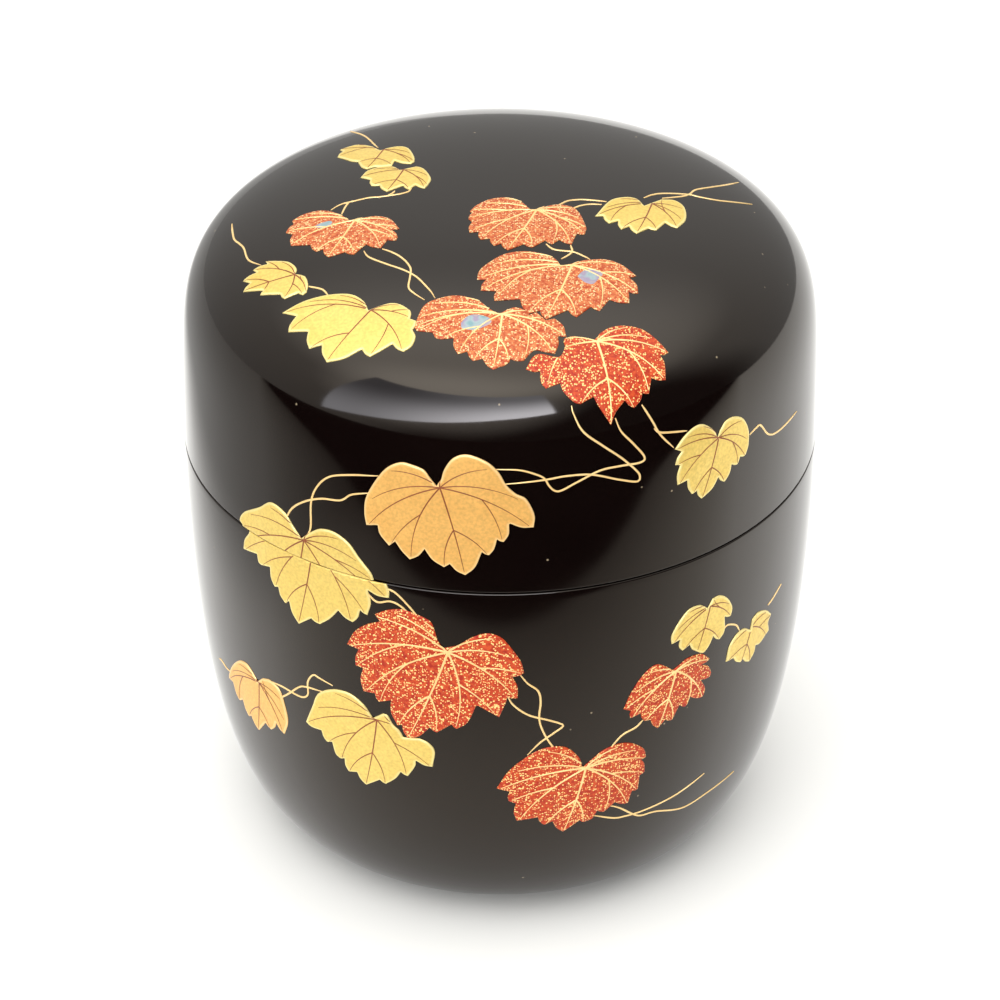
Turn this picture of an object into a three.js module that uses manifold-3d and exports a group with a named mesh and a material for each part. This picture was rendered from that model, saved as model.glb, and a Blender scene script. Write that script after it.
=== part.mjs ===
// Lacquered tea caddy (natsume): a turned wood body with a mouth rim turned in one with it, a lift-off
// lid, coats of black lacquer on both, and raised vine leaves with three shell inlays laid on the lacquer.
// Millimetres, +Z up. The origin is on the table under the middle of the foot, and -Y is the front.

import * as THREE from 'three';
import { mergeVertices } from 'three/addons/utils/BufferGeometryUtils.js';
import Module from 'manifold-3d';

const wasm = await Module();
wasm.setup();

// ---- Driving dimensions ----
const DIAMETER = 66;            // widest, where lid and body meet
const BODY_HEIGHT = 45.6;       // table to seam
const LID_HEIGHT = 26.4;        // seam to the top of the crown
const LID_TAPER = 0.64;         // how far the lid's side draws in by the shoulder
const LID_SHOULDER = 7;         // superellipse power of the lid's height: higher is a tighter shoulder
const LID_CROWN = 2.4;          // superellipse power of its radius: higher is a flatter crown
const BODY_BELLY = 8;           // power of the body's radius
const BODY_DRAW = 2.116;        // power of its depth: how soon the side draws in to the foot
const FOOT_DIAMETER = 38.6;     // outside of the ring that stands on the table
const FOOT_RING_WIDTH = 1.9;
const BASE_RECESS = 0.8;        // depth of the hollow inside the foot ring
const LID_WALL = 2;             // lid side at the mouth, coats included
const LID_CROWN_THICKNESS = 3;
const LID_INNER_SHOULDER = 4;   // superellipse power of the hollow's height
const BORE_SPARE = 1;           // straight bore of the lid carried on above the rim
const RIM_HEIGHT = 9;           // mouth rim above the seam
const RIM_THICKNESS = 1.4;
const RIM_CLEARANCE = 0.15;     // radial play between the rim and the inside of the lid
const FLOOR_THICKNESS = 4.2;    // inside of the body above the table, at the middle
const COAT = 0.4;               // lacquer over its ground coats
const BOND = 0.05;              // gap kept between a coat and what it covers
const SEAM_GAP = 0.15;          // gap kept between the lid's edge and the body's ledge
const LEAF_THICKNESS = 0.15;
const LEAF_BOND = 0.1;          // gap kept under a leaf
const LEAF_GAP = 0.12;          // gap kept around a shell inlay
const LEAF_INSET = 0.15;        // how far a leaf's edge is drawn in, to stay clear of the next leaf
const SHELL_PROUD = 0.05;       // a shell inlay above the leaf that holds it
const LID_TURN = -2.1;          // degrees that the lid sits turned, which steps the leaf on the seam
const SEGMENTS = 36;            // round the lathe-turned solids
const PROFILE_STEPS = 8;        // along each long curve of a profile
const LEAF_STEP = 1.7;          // spacing of points along a leaf's edge
const RING_SPACING = 3.4;       // spacing of points from a leaf's middle out to its edge

// The vine is drawn on a caddy of these sizes. On another size each point keeps its azimuth and its share
// of the way down the lid or the body.
const DRAWN_RADIUS = 33;
const DRAWN_BODY_HEIGHT = 45.6;
const DRAWN_LID_HEIGHT = 26.4;
const DRAWN_FOOT_RADIUS = 19.3;

const RADIUS = DIAMETER / 2;
const SEAM = BODY_HEIGHT;
const TOP = SEAM + LID_HEIGHT;
const FOOT_RADIUS = FOOT_DIAMETER / 2;
const LID_MOUTH_RADIUS = RADIUS - LID_WALL;
const RIM_OUTSIDE = LID_MOUTH_RADIUS - RIM_CLEARANCE;
const RIM_INSIDE = RIM_OUTSIDE - RIM_THICKNESS;
const RIM_TOP = SEAM + RIM_HEIGHT;
const LID_EDGE = SEAM + SEAM_GAP;
const LINING = COAT + BOND;     // from a finished surface in to the wood

const deg = THREE.MathUtils.degToRad;
const v2 = (r, z) => new THREE.Vector2(r, z);

// ---- Profiles: lists of (radius, height), each running down from the middle of the top ----
const superellipse = (radius, height, base, heightPower, radiusPower, taper, steps) =>
  Array.from({ length: steps + 1 }, (_, i) => {
    const turn = (Math.PI / 2) * (1 - i / steps);
    const rise = i === steps ? 0 : Math.sin(turn) ** (2 / heightPower);
    const across = i === 0 ? 0 : Math.cos(turn) ** (2 / radiusPower);
    return v2((radius - taper * rise) * across, base + height * rise);
  });

const bowl = (radius, bottomRadius, top, bottom, belly, draw, steps) => {
  const reach = (1 - (bottomRadius / radius) ** belly) ** (1 / draw);
  return Array.from({ length: steps + 1 }, (_, i) => {
    const depth = reach * (1 - (1 - i / steps) ** 2);
    const r = i === 0 ? radius : radius * (1 - depth ** draw) ** (1 / belly);
    return v2(r, top - (depth / reach) * (top - bottom));
  });
};

const lidOutside = (steps) => superellipse(RADIUS, LID_HEIGHT, SEAM, LID_SHOULDER, LID_CROWN, LID_TAPER, steps);
const bodyOutside = (steps) => bowl(RADIUS, FOOT_RADIUS, SEAM, 0, BODY_BELLY, BODY_DRAW, steps);

// Moves a profile to its right as it runs, square to its own direction. A point on the axis stays on it.
const offset = (points, distance) => points.map((point, i) => {
  const before = points[Math.max(i - 1, 0)];
  const after = points[Math.min(i + 1, points.length - 1)];
  const along = after.clone().sub(before).normalize();
  const r = point.x === 0 ? 0 : point.x + along.y * distance;
  return v2(r, point.y - along.x * distance);
});

const setEnd = (points, end) => [...points.slice(0, -1), end];
const setStart = (points, start) => [start, ...points.slice(1)];

const turned = (profile) => {
  const geometry = new THREE.LatheGeometry(profile, SEGMENTS);
  geometry.rotateX(Math.PI / 2);
  return geometry;
};

// ---- The lid ----
const lidOuter = setEnd(lidOutside(PROFILE_STEPS + 2), v2(RADIUS, LID_EDGE));
const boreTop = SEAM + RIM_HEIGHT + BORE_SPARE;
const lidInner = [
  ...superellipse(
    LID_MOUTH_RADIUS, TOP - LID_CROWN_THICKNESS - boreTop, boreTop, LID_INNER_SHOULDER, LID_CROWN, 0, PROFILE_STEPS,
  ),
  v2(LID_MOUTH_RADIUS, LID_EDGE),
];
const lidInnerAt = (depth, edge) => setEnd(offset(lidInner, -depth), v2(LID_MOUTH_RADIUS + depth, edge));
const lidOuterAt = (depth, edge) => setEnd(offset(lidOuter, depth), v2(RADIUS - depth, edge));

const lidCoreProfile = [
  ...lidInnerAt(LINING, LID_EDGE + LINING),
  ...lidOuterAt(LINING, LID_EDGE + LINING).reverse(),
];
const lidOuterCoatProfile = [
  ...lidOuterAt(COAT, LID_EDGE + COAT),
  v2(LID_MOUTH_RADIUS, LID_EDGE + COAT),
  v2(LID_MOUTH_RADIUS, LID_EDGE),
  ...lidOuterAt(0, LID_EDGE).reverse(),
];
const lidInnerCoatProfile = [
  ...lidInnerAt(0, LID_EDGE + LINING),
  ...lidInnerAt(COAT, LID_EDGE + LINING).reverse(),
];

// ---- The body ----
const bodyOuter = bodyOutside(PROFILE_STEPS + 2);
const bodyInner = bowl(RIM_INSIDE, 0, SEAM, FLOOR_THICKNESS, BODY_BELLY, 3, PROFILE_STEPS);
const bodyOuterAt = (depth) => setStart(offset(bodyOuter, depth), v2(RADIUS - depth, SEAM - depth));
const bodyInnerAt = (depth) => offset(bodyInner, -depth);
const recessRadius = FOOT_RADIUS - FOOT_RING_WIDTH;

const bodyCoreProfile = [
  v2(0, BASE_RECESS + LINING),
  v2(recessRadius + BOND, BASE_RECESS + LINING),
  v2(recessRadius + LINING, LINING),
  ...bodyOuterAt(LINING).reverse(),
  v2(RIM_OUTSIDE - LINING, SEAM - LINING),
  v2(RIM_OUTSIDE - LINING, RIM_TOP - LINING),
  v2(RIM_INSIDE + LINING, RIM_TOP - LINING),
  ...bodyInnerAt(LINING),
];
const bodyOuterCoatProfile = [
  ...bodyOuterAt(0).reverse(),
  v2(RIM_OUTSIDE, SEAM),
  v2(RIM_OUTSIDE, RIM_TOP),
  v2(RIM_INSIDE, RIM_TOP),
  v2(RIM_INSIDE, RIM_TOP - COAT),
  v2(RIM_OUTSIDE - COAT, RIM_TOP - COAT),
  v2(RIM_OUTSIDE - COAT, SEAM - COAT),
  ...bodyOuterAt(COAT),
  bodyOuter[bodyOuter.length - 1].clone(),
];
const bodyInnerCoatProfile = [
  ...bodyInnerAt(COAT).reverse(),
  v2(RIM_INSIDE + COAT, RIM_TOP - LINING),
  v2(RIM_INSIDE, RIM_TOP - LINING),
  ...bodyInnerAt(0),
];
const footEnd = bodyOuterAt(COAT).at(-1);
const baseCoatProfile = [
  v2(0, BASE_RECESS),
  v2(recessRadius - COAT, BASE_RECESS),
  v2(recessRadius, 0),
  v2(FOOT_RADIUS - BOND, 0),
  v2(footEnd.x - BOND, COAT),
  v2(recessRadius + COAT, COAT),
  v2(recessRadius, BASE_RECESS + COAT),
  v2(0, BASE_RECESS + COAT),
];

// ---- The outer surface as one run of skin, for laying leaves on it ----
const FINE = 400;

// The skin of a caddy of the given sizes, from the middle of the crown to the foot.
const skinOf = (radius, lidHeight, bodyHeight, footRadius) => {
  const points = [
    ...superellipse(radius, lidHeight, bodyHeight, LID_SHOULDER, LID_CROWN, LID_TAPER, FINE),
    ...bowl(radius, footRadius, bodyHeight, 0, BODY_BELLY, BODY_DRAW, FINE).slice(1),
  ];
  const runs = [0];
  for (let i = 1; i < points.length; i += 1) {
    runs.push(runs[i - 1] + points[i].distanceTo(points[i - 1]));
  }
  return { points, runs, lidRun: runs[FINE], bodyRun: runs.at(-1) - runs[FINE] };
};
const drawnSkin = skinOf(DRAWN_RADIUS, DRAWN_LID_HEIGHT, DRAWN_BODY_HEIGHT, DRAWN_FOOT_RADIUS);
const realSkin = skinOf(RADIUS, LID_HEIGHT, BODY_HEIGHT, FOOT_RADIUS);

// Radius, height and direction of a skin at a run of millimetres down from the seam.
const skinAt = ({ points, runs, lidRun }, run) => {
  const target = THREE.MathUtils.clamp(lidRun + run, 0, runs.at(-1));
  let low = 0;
  let high = points.length - 1;
  while (high - low > 1) {
    const middle = (low + high) >> 1;
    if (runs[middle] <= target) low = middle;
    else high = middle;
  }
  const share = (target - runs[low]) / (runs[high] - runs[low]);
  const at = points[low].clone().lerp(points[high], share);
  const along = points[high].clone().sub(points[low]).normalize();
  return { r: at.x, z: at.y, dr: along.x, dz: along.y };
};

// Walks straight over the drawn skin from a place, as a taut thread would lie. Bearing 0 is down the side,
// and 90 degrees is towards +X at the front.
const walk = (place, bearing, distance) => {
  const steps = Math.max(1, Math.ceil(distance / 0.4));
  const step = distance / steps;
  let { azimuth, run } = place;
  let heading = bearing;
  for (let i = 0; i < steps; i += 1) {
    const here = skinAt(drawnSkin, run);
    const half = skinAt(drawnSkin, run + (step / 2) * Math.cos(heading));
    const middle = heading - ((step / 2) * Math.sin(heading) * here.dr) / here.r;
    run += step * Math.cos(middle);
    azimuth += (step * Math.sin(middle)) / half.r;
    heading -= (step * Math.sin(middle) * half.dr) / half.r;
  }
  return { azimuth, run };
};

// The point at a height over the real skin for a place on the drawn one.
const onSkin = ({ azimuth, run }, height) => {
  const stretch = run < 0 ? realSkin.lidRun / drawnSkin.lidRun : realSkin.bodyRun / drawnSkin.bodyRun;
  const { r, z, dr, dz } = skinAt(realSkin, run * stretch);
  const out = r - dz * height;
  return new THREE.Vector3(out * Math.sin(azimuth), -out * Math.cos(azimuth), z + dr * height);
};

// ---- Leaves ----
// Each leaf: where its middle lies (azimuth in degrees, run in mm down from the seam, minus on the lid),
// the bearing of its midrib, and its edge as [angle from the midrib, mm from the middle]. The edge is a
// list of runs, from a notch to the next tip: a run of two points bulges, a longer one is a smooth curve,
// and runs are joined by straight steps.
const BULGE = 0.1;
const LEAVES = [
  {
    name: 'lid_leaf_gold_back_left', colour: 'gold', at: [-130, -36], turn: 111, edge: [
      [[-167, 1], [-139, 2.8], [-125, 4.2], [-104, 5]], [[-98, 4.3], [-79, 4.4]], [[-63, 3.4], [-37, 2.5]],
      [[-32, 2.7], [-11, 3.4], [1, 3.7]], [[14, 3.1], [44, 3.4]], [[59, 2.6], [68, 4.5]],
      [[75, 4.5], [90, 3.9], [126, 3.2], [147, 2.7], [167, 1.8]]],
  },
  {
    name: 'lid_leaf_gold_crown_left', colour: 'gold', at: [-116, -40.5], turn: 106, edge: [
      [[163, 1], [-159, 1.9], [-130, 2.6], [-104, 3.2], [-78, 3.6]], [[-62, 2.7], [-37, 3.3]],
      [[-25, 2.8], [-2, 3.9]], [[27, 2.8], [32, 3.9]], [[48, 3.4], [51, 4.6]],
      [[59, 4.4], [79, 3.9], [111, 3.1], [133, 2.7], [144, 1.8]]],
  },
  {
    name: 'lid_leaf_red_crown_left', colour: 'coral', at: [-70.5, -36], turn: 53, edge: [
      [[-178, 1.4], [-146, 3.1], [-130, 4.8], [-114, 5.8], [-100, 6.3]], [[-94, 5.8], [-80, 6.2]],
      [[-75, 5.4], [-54, 5.8]], [[-39, 4.2], [-20, 4.7]], [[-15, 4.1], [0, 5.3]], [[18, 4.5], [28, 5.2]],
      [[49, 4.1], [57, 5.7]], [[73, 5.2], [76, 6]], [[81, 5.9], [94, 4.7]],
      [[97, 5.5], [119, 4.6], [136, 3.6], [152, 2.3]]],
    inlay: { at: [-76, -34], edge: [[-61, 0.4], [-9, 0.7], [34, 0.7], [119, 0.8], [171, 1], [-156, 0.9]] },
  },
  {
    name: 'lid_leaf_gold_small_left', colour: 'gold', at: [-60.5, -27.5], turn: -35, edge: [
      [[179, 1.3], [-148, 1.6], [-104, 2.1], [-74, 2.7], [-54, 3.7]], [[-52, 3.1], [-31, 4]],
      [[-27, 3.3], [-11, 4.5]], [[-2, 3.5], [10, 4.3]], [[39, 2.4], [43, 3]], [[91, 2.7], [99, 3.5]],
      [[123, 3.6], [126, 4.2]], [[132, 4.2], [145, 3.5], [163, 2.6], [172, 1.9]]],
  },
  {
    name: 'lid_leaf_gold_shoulder', colour: 'gold', at: [-33.5, -27.5], turn: -6, edge: [
      [[176, 1.3], [-150, 2.4], [-127, 3.7], [-104, 5], [-85, 6.7], [-71, 8.4]],
      [[-68, 6.7], [-59, 7.2], [-53, 7.3]], [[-47, 5.2], [-26, 5.7]], [[-19, 4.5], [-10, 5.1], [1, 5.6]],
      [[1, 5.6], [19, 4.8], [42, 3.9]], [[42, 3.9], [50, 5]], [[50, 5], [64, 4.9], [79, 5]],
      [[79, 5], [80, 6.5]], [[80, 6.5], [88, 6.7], [98, 6.4], [105, 5.7]], [[105, 5.7], [117, 5.7]],
      [[120, 5], [133, 5]], [[133, 5], [146, 4.3], [157, 3.5], [165, 2.3]]],
  },
  {
    name: 'lid_leaf_red_crown', colour: 'coral', at: [29.5, -47], turn: -46, edge: [
      [[175, 1.5], [-154, 3.3], [-139, 4.5], [-120, 5.2], [-100, 5.6], [-86, 5.8]], [[-83, 5.5], [-71, 5.8]],
      [[-64, 5.5], [-46, 6.4]], [[-43, 5.5], [-30, 6.3]], [[-25, 5.5], [-14, 6.4]], [[-10, 5.7], [0, 6.6]],
      [[13, 5.2], [22, 5.8]], [[39, 4.8], [43, 5.7]], [[54, 5.3], [58, 6.7]], [[76, 5.8], [79, 6.5]],
      [[89, 6.3], [114, 5.5], [132, 5.2], [147, 4.2], [157, 2.9]]],
  },
  {
    name: 'lid_leaf_gold_crown_right', colour: 'gold', at: [81, -38], turn: -88, edge: [
      [[168, 1.1], [-164, 2.4], [-140, 3], [-108, 3.5], [-62, 5]], [[-60, 4.2], [-40, 4.5]],
      [[-37, 3.4], [-20, 4.6]], [[-14, 3.6], [0, 4.7]], [[18, 3.5], [29, 3.9]], [[58, 3.1], [60, 4.5]],
      [[60, 4.5], [87, 4.6], [117, 4.8], [136, 4.6], [149, 3.5]]],
  },
  {
    name: 'lid_leaf_red_centre', colour: 'coral', at: [20.5, -36], turn: -31, edge: [
      [[179, 1.6], [-163, 2.9], [-147, 4], [-130, 5.3], [-113, 6.4], [-95, 7.2], [-84, 7.8], [-74, 8]],
      [[-73, 7.1], [-61, 8]], [[-56, 6.6], [-46, 7.5]], [[-34, 5.4], [-24, 6.2], [-16, 6.7]],
      [[-8, 5.8], [0, 6.8]], [[20, 5.3], [26, 6.4]], [[45, 5.5], [49, 6.4]], [[67, 5.9], [74, 7.7]],
      [[86, 7.1], [87, 8]], [[87, 8], [96, 7.7], [105, 6.9]], [[105, 6.9], [107, 7.7]],
      [[107, 7.7], [122, 6.7], [135, 5.6], [148, 3.9]]],
    inlay: {
      at: [30.5, -34.5],
      edge: [[-119, 1.5], [-70, 1.2], [-31, 1.1], [27, 0.6], [92, 1.2], [122, 1.3], [161, 1.3], [-162, 1.3]],
    },
  },
  {
    name: 'lid_leaf_red_front', colour: 'coral', at: [-1, -28.5], turn: -2, edge: [
      [[176, 2.4], [-166, 3.3], [-155, 4.9], [-140, 6.6], [-124, 7.7], [-115, 8], [-104, 7.9]],
      [[-95, 7.9], [-91, 7.6]], [[-89, 6.1], [-82, 5.8], [-79, 5.3]], [[-78, 4.1], [-51, 4.5]],
      [[-46, 3.6], [-29, 4.1]], [[-18, 3.5], [0, 4.5]], [[8, 4.2], [22, 3.9]], [[26, 3.6], [41, 4.4]],
      [[54, 4.2], [63, 4.4], [66, 5.2], [69, 6.2]], [[69, 6.2], [80, 6.2], [89, 6]], [[90, 6.1], [90, 6.8]],
      [[90, 6.8], [102, 6.6], [112, 6]], [[112, 5.1], [120, 4.9], [128, 4.8]],
      [[129, 4], [142, 4.1], [154, 3.9], [164, 3.2]]],
    inlay: {
      at: [-6, -29.5],
      edge: [[-86, 1.4], [-55, 1.4], [-4, 0.9], [55, 0.9], [95, 1.5], [123, 1.5], [-176, 1.2], [-132, 1.2]],
    },
  },
  {
    name: 'lid_leaf_red_right', colour: 'vermilion', at: [20, -23.5], turn: -3, edge: [
      [[178, 2.9], [-167, 3.4], [-155, 4.1], [-143, 4.5]],
      [[-138, 4.3], [-131, 3.9], [-113, 4.1], [-113, 5.5], [-112, 6.2], [-107, 6.7], [-97, 7.3]],
      [[-95, 6.8], [-94, 6]], [[-93, 6], [-83, 6.2], [-76, 6]], [[-75, 4.5], [-65, 4.7], [-48, 4.7], [-39, 4.5]],
      [[-25, 3.3], [-15, 4.1], [0, 5.9]], [[0, 5.9], [7, 4.8], [24, 4.1]], [[24, 4.1], [29, 5.2]],
      [[29, 5.2], [40, 5.1], [48, 4.8]], [[48, 4.8], [52, 5.4]], [[69, 5.1], [71, 6.6]],
      [[71, 6.6], [86, 6.5], [94, 6.2]], [[94, 6.2], [95, 7.2]],
      [[95, 7.2], [109, 6.7], [124, 6.3], [140, 5.5], [154, 4.6], [166, 3.7], [170, 3.3]]],
  },
  {
    name: 'lid_leaf_gold_right', colour: 'gold', at: [39.5, -11.5], turn: -19, edge: [
      [[178, 1.5], [-164, 2.4], [-143, 3.7], [-128, 4.3], [-110, 4.7], [-94, 5.1]], [[-92, 4.2], [-74, 4.7]],
      [[-72, 4.1], [-46, 4.9]], [[-41, 3.8], [-17, 4.6]], [[-12, 4.1], [1, 4.9]],
      [[1, 4.9], [17, 4], [31, 3.1]], [[31, 3.1], [40, 4.2]], [[40, 4.2], [53, 3.9], [66, 3.4]],
      [[66, 3.4], [70, 4.3]], [[81, 4.2], [83, 5]],
      [[83, 5], [96, 5.1], [115, 5], [135, 4.7], [152, 4.1], [167, 3.3], [175, 2.3]]],
  },
  {
    name: 'lid_leaf_orange_front', colour: 'orange', at: [-9.5, -10], turn: 15, edge: [
      [[-175, 2.1], [-169, 3.2], [-166, 4.1], [-156, 5.1], [-148, 5.9], [-135, 6.5], [-119, 7], [-101, 7.9],
        [-89, 8.4], [-80, 8.7]],
      [[-78, 7.5], [-71, 7.8], [-60, 7.8]], [[-60, 6.9], [-51, 7.2], [-42, 7.5]], [[-42, 7.5], [-35, 5.6]],
      [[-35, 5.6], [-15, 7.1]], [[-10, 6.7], [0, 8.1]], [[0, 8.1], [9, 7.5], [21, 6.3]], [[21, 6.3], [24, 7]],
      [[24, 7], [31, 6.8], [40, 6.3]], [[40, 6.3], [41, 7]], [[41, 7], [49, 7], [58, 6.6]],
      [[59, 6.7], [60, 9]],
      [[60, 9], [69, 8.8], [81, 8], [87, 7.1], [97, 6.5], [111, 6.5], [125, 6.4], [143, 6], [155, 5.2],
        [164, 3.9], [170, 2.8]]],
  },
  {
    name: 'body_leaf_red_front', colour: 'vermilion', at: [-11, 9], turn: -18, edge: [
      [[-178, 2.4], [-165, 3.2], [-160, 4.4], [-156, 5.4], [-144, 6.3], [-133, 7.2], [-122, 7.7], [-111, 8.1]],
      [[-109, 7.2], [-98, 8.1], [-87, 8.9], [-75, 9.5]], [[-74, 8.2], [-67, 8.6], [-60, 8.8]],
      [[-58, 8], [-49, 8.8], [-40, 9.2]], [[-36, 8.1], [-29, 8.4]], [[-25, 7.1], [-18, 8.3], [-9, 9.3]],
      [[-7, 8.9], [0, 10.2]], [[0, 10.2], [6, 9.4], [12, 7.9]], [[12, 7.9], [17, 8.4]], [[29, 7.3], [32, 7.9]],
      [[32, 7.9], [42, 7.4], [59, 6]], [[60, 6.1], [62, 7.1], [64, 8.6]], [[64, 8.6], [77, 8], [82, 7.8]],
      [[82, 7.8], [84, 8.8]], [[84, 8.8], [93, 8.3], [101, 7.6]], [[101, 7.6], [105, 8.7]],
      [[105, 8.7], [115, 8.4], [130, 7.8], [140, 7.5], [149, 6.7], [155, 5.3], [160, 3.5]]],
  },
  {
    name: 'body_leaf_gold_front', colour: 'gold', at: [-24, 20], turn: -8, edge: [
      [[179, 3], [-166, 4.4], [-151, 5.7], [-134, 6.5], [-115, 7], [-96, 7], [-77, 7.8]],
      [[-76, 7.8], [-73, 7.2], [-72, 5.9]], [[-71, 5.9], [-58, 5.7]], [[-58, 5], [-43, 5.5], [-35, 5.4]],
      [[-33, 4.9], [-20, 6.1]], [[-12, 5.4], [0, 6.6]], [[16, 5.3], [22, 5.8]],
      [[22, 5.8], [37, 5.2], [50, 4.7]], [[50, 4.7], [53, 5.5]], [[53, 5.5], [71, 5.3], [79, 5.1]],
      [[80, 5.2], [80, 6.9]], [[81, 6.9], [98, 6.9], [107, 6.4], [113, 5.6]],
      [[117, 3.9], [130, 3.9], [144, 3.8], [158, 4.3], [165, 4.2]]],
  },
  {
    name: 'body_leaf_orange_left', colour: 'orange', at: [-51, 20.5], turn: -9, edge: [
      [[178, 1.4], [-155, 2.3], [-140, 3.1], [-117, 3.7], [-86, 4.8], [-67, 6.2], [-61, 6.7]],
      [[-59, 5.6], [-47, 5.9], [-38, 5.8]], [[-37, 4.7], [-18, 5.7]], [[-15, 5], [0, 6]], [[20, 3.9], [29, 4.6]],
      [[29, 4.6], [53, 3.8]], [[53, 3.8], [54, 5.3]],
      [[54, 5.3], [79, 4.9], [105, 4.5], [129, 4.5], [147, 3.7], [160, 2.7]]],
  },
  {
    name: 'body_leaf_red_low', colour: 'vermilion', at: [14.5, 24], turn: -10, edge: [
      [[178, 1.6], [-168, 3], [-153, 4.7], [-140, 5.6], [-127, 6.2], [-111, 6.7], [-93, 7.5], [-76, 8.4]],
      [[-72, 7.1], [-62, 7.5]], [[-57, 6.9], [-40, 8.1]], [[-30, 6.3], [-19, 6.9]], [[-14, 6.1], [0, 7.5]],
      [[14, 6], [17, 6.4]], [[17, 6.4], [26, 6.3], [34, 5.5]], [[34, 5.5], [39, 6.2]], [[53, 6], [58, 7.6]],
      [[70, 6.9], [73, 7.5]], [[88, 6.9], [91, 7.4]], [[91, 7.4], [100, 7.2], [106, 6.8]],
      [[106, 6.8], [107, 7.4]], [[107, 7.4], [117, 7.3], [131, 6.5], [143, 5.5], [154, 4.1], [163, 2.6]]],
  },
  {
    name: 'body_leaf_red_right', colour: 'vermilion', at: [31.5, 14], turn: -11, edge: [
      [[180, 1.4], [-156, 2.1], [-139, 3.2], [-122, 3.6], [-101, 3.9], [-79, 4.5], [-60, 5.5]],
      [[-52, 4.9], [-43, 5.4]], [[-37, 4.3], [-23, 4.9]], [[-15, 4.6], [0, 5.7]], [[8, 4.8], [18, 5.2]],
      [[33, 3.8], [40, 4.7]], [[53, 4.1], [60, 5.9]], [[60, 5.9], [70, 5.5], [81, 4.3]],
      [[81, 4.3], [83, 5.3], [89, 5.5], [100, 4.9], [108, 4]], [[109, 4], [110, 5.1]],
      [[110, 5.1], [128, 4.3], [147, 3], [158, 2.1]]],
  },
  {
    name: 'body_leaf_gold_right', colour: 'gold', at: [39, 7.5], turn: -9, edge: [
      [[-175, 0.9], [-140, 2], [-116, 3], [-90, 3.7], [-71, 4.5], [-59, 4.7]], [[-56, 3.7], [-46, 4.2], [-35, 4.3]],
      [[-29, 3.4], [-7, 4.1]], [[-7, 4.1], [6, 4.5], [17, 3.9], [28, 3.1]], [[28, 3.1], [36, 4.3]],
      [[36, 4.3], [50, 4], [73, 2.8]], [[73, 2.8], [74, 3.8]],
      [[74, 3.8], [91, 3.6], [118, 2.9], [146, 2.4], [168, 1.9]]],
  },
  {
    name: 'body_leaf_gold_far_right', colour: 'gold', at: [51, 13.5], turn: -24, edge: [
      [[-166, 0.8], [-122, 1.9], [-97, 2.7], [-72, 3.3], [-45, 3.8]], [[-36, 2.8], [1, 2.9]],
      [[6, 2.5], [32, 3.5]], [[32, 3.5], [50, 2.9], [60, 2.3]], [[60, 2.3], [70, 3], [88, 3.7]],
      [[88, 3.7], [95, 4.1], [112, 3.6], [121, 4.2]], [[121, 4.2], [143, 3.4], [172, 2.7], [-166, 2]]],
  },
];

// One leaf lies across the seam, so half of it comes away with the lid.
const SEAM_LEAF = {
  name: 'seam_leaf', colour: 'gold', at: [-35, -0.5], turn: -10, edge: [
    [[178, 1.9], [-158, 2.9], [-146, 4.4], [-130, 5.7], [-109, 6.2], [-90, 7.9], [-81, 8.6], [-78, 8.1]],
    [[-74, 8.4], [-61, 9.9]], [[-59, 7.6], [-53, 7.8], [-50, 7.5]], [[-47, 6.2], [-38, 6.9], [-30, 7.2]],
    [[-28, 6.7], [-22, 7.3], [-15, 7.6]], [[-13, 6.9], [0, 8.8]], [[11, 7.3], [19, 7.7]],
    [[19, 7.7], [31, 6.9], [44, 6.2]], [[44, 6.2], [50, 7.9]], [[50, 7.9], [63, 7.4]], [[64, 7.4], [65, 8.2]],
    [[65, 8.2], [76, 7.8], [85, 7.1]], [[86, 7.1], [87, 9.3]], [[87, 9.3], [96, 8.9]],
    [[98, 8.7], [103, 8.4], [114, 7.4], [128, 6.8], [142, 5.9], [154, 4.7], [164, 3.2]]],
};

const flatPoint = ([angle, distance]) =>
  v2(distance * Math.cos(deg(angle)), distance * Math.sin(deg(angle)));

// A leaf's edge as points on the flat, with the midrib along +X.
const edgePoints = (edge) => edge.flatMap((run) => {
  const points = run.map(([angle, distance]) => flatPoint([angle, distance - LEAF_INSET]));
  if (points.length === 2) {
    const [from, to] = points;
    const across = to.clone().sub(from);
    const side = v2(across.y, -across.x).multiplyScalar(BULGE);
    points.splice(1, 0, from.clone().lerp(to, 0.5).add(side));
  }
  const curve = new THREE.SplineCurve(points);
  return curve.getPoints(Math.max(1, Math.round(curve.getLength() / LEAF_STEP)));
});

// Joins an upper and a lower layer, each a middle point and rings out to the edge, into one closed plate.
const plate = (layers, count, rings) => {
  const perLayer = 1 + count * rings;
  const triangles = [];
  const at = (layer, ring, i) => layer * perLayer + 1 + ring * count + (i % count);
  for (let i = 0; i < count; i += 1) {
    triangles.push(0, at(0, 0, i), at(0, 0, i + 1));
    triangles.push(perLayer, at(1, 0, i + 1), at(1, 0, i));
    for (let ring = 1; ring < rings; ring += 1) {
      const [a, b] = [at(0, ring - 1, i), at(0, ring - 1, i + 1)];
      const [c, d] = [at(0, ring, i), at(0, ring, i + 1)];
      triangles.push(a, c, b, b, c, d);
      const [e, f, g, h] = [a, b, c, d].map((index) => index + perLayer);
      triangles.push(e, f, g, f, h, g);
    }
    const [upper, upperNext] = [at(0, rings - 1, i), at(0, rings - 1, i + 1)];
    const [lower, lowerNext] = [upper + perLayer, upperNext + perLayer];
    triangles.push(upper, lower, upperNext, upperNext, lower, lowerNext);
  }
  const geometry = new THREE.BufferGeometry();
  geometry.setAttribute('position', new THREE.Float32BufferAttribute(layers.flatMap((p) => p.toArray()), 3));
  geometry.setIndex(triangles);
  return geometry;
};

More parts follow.
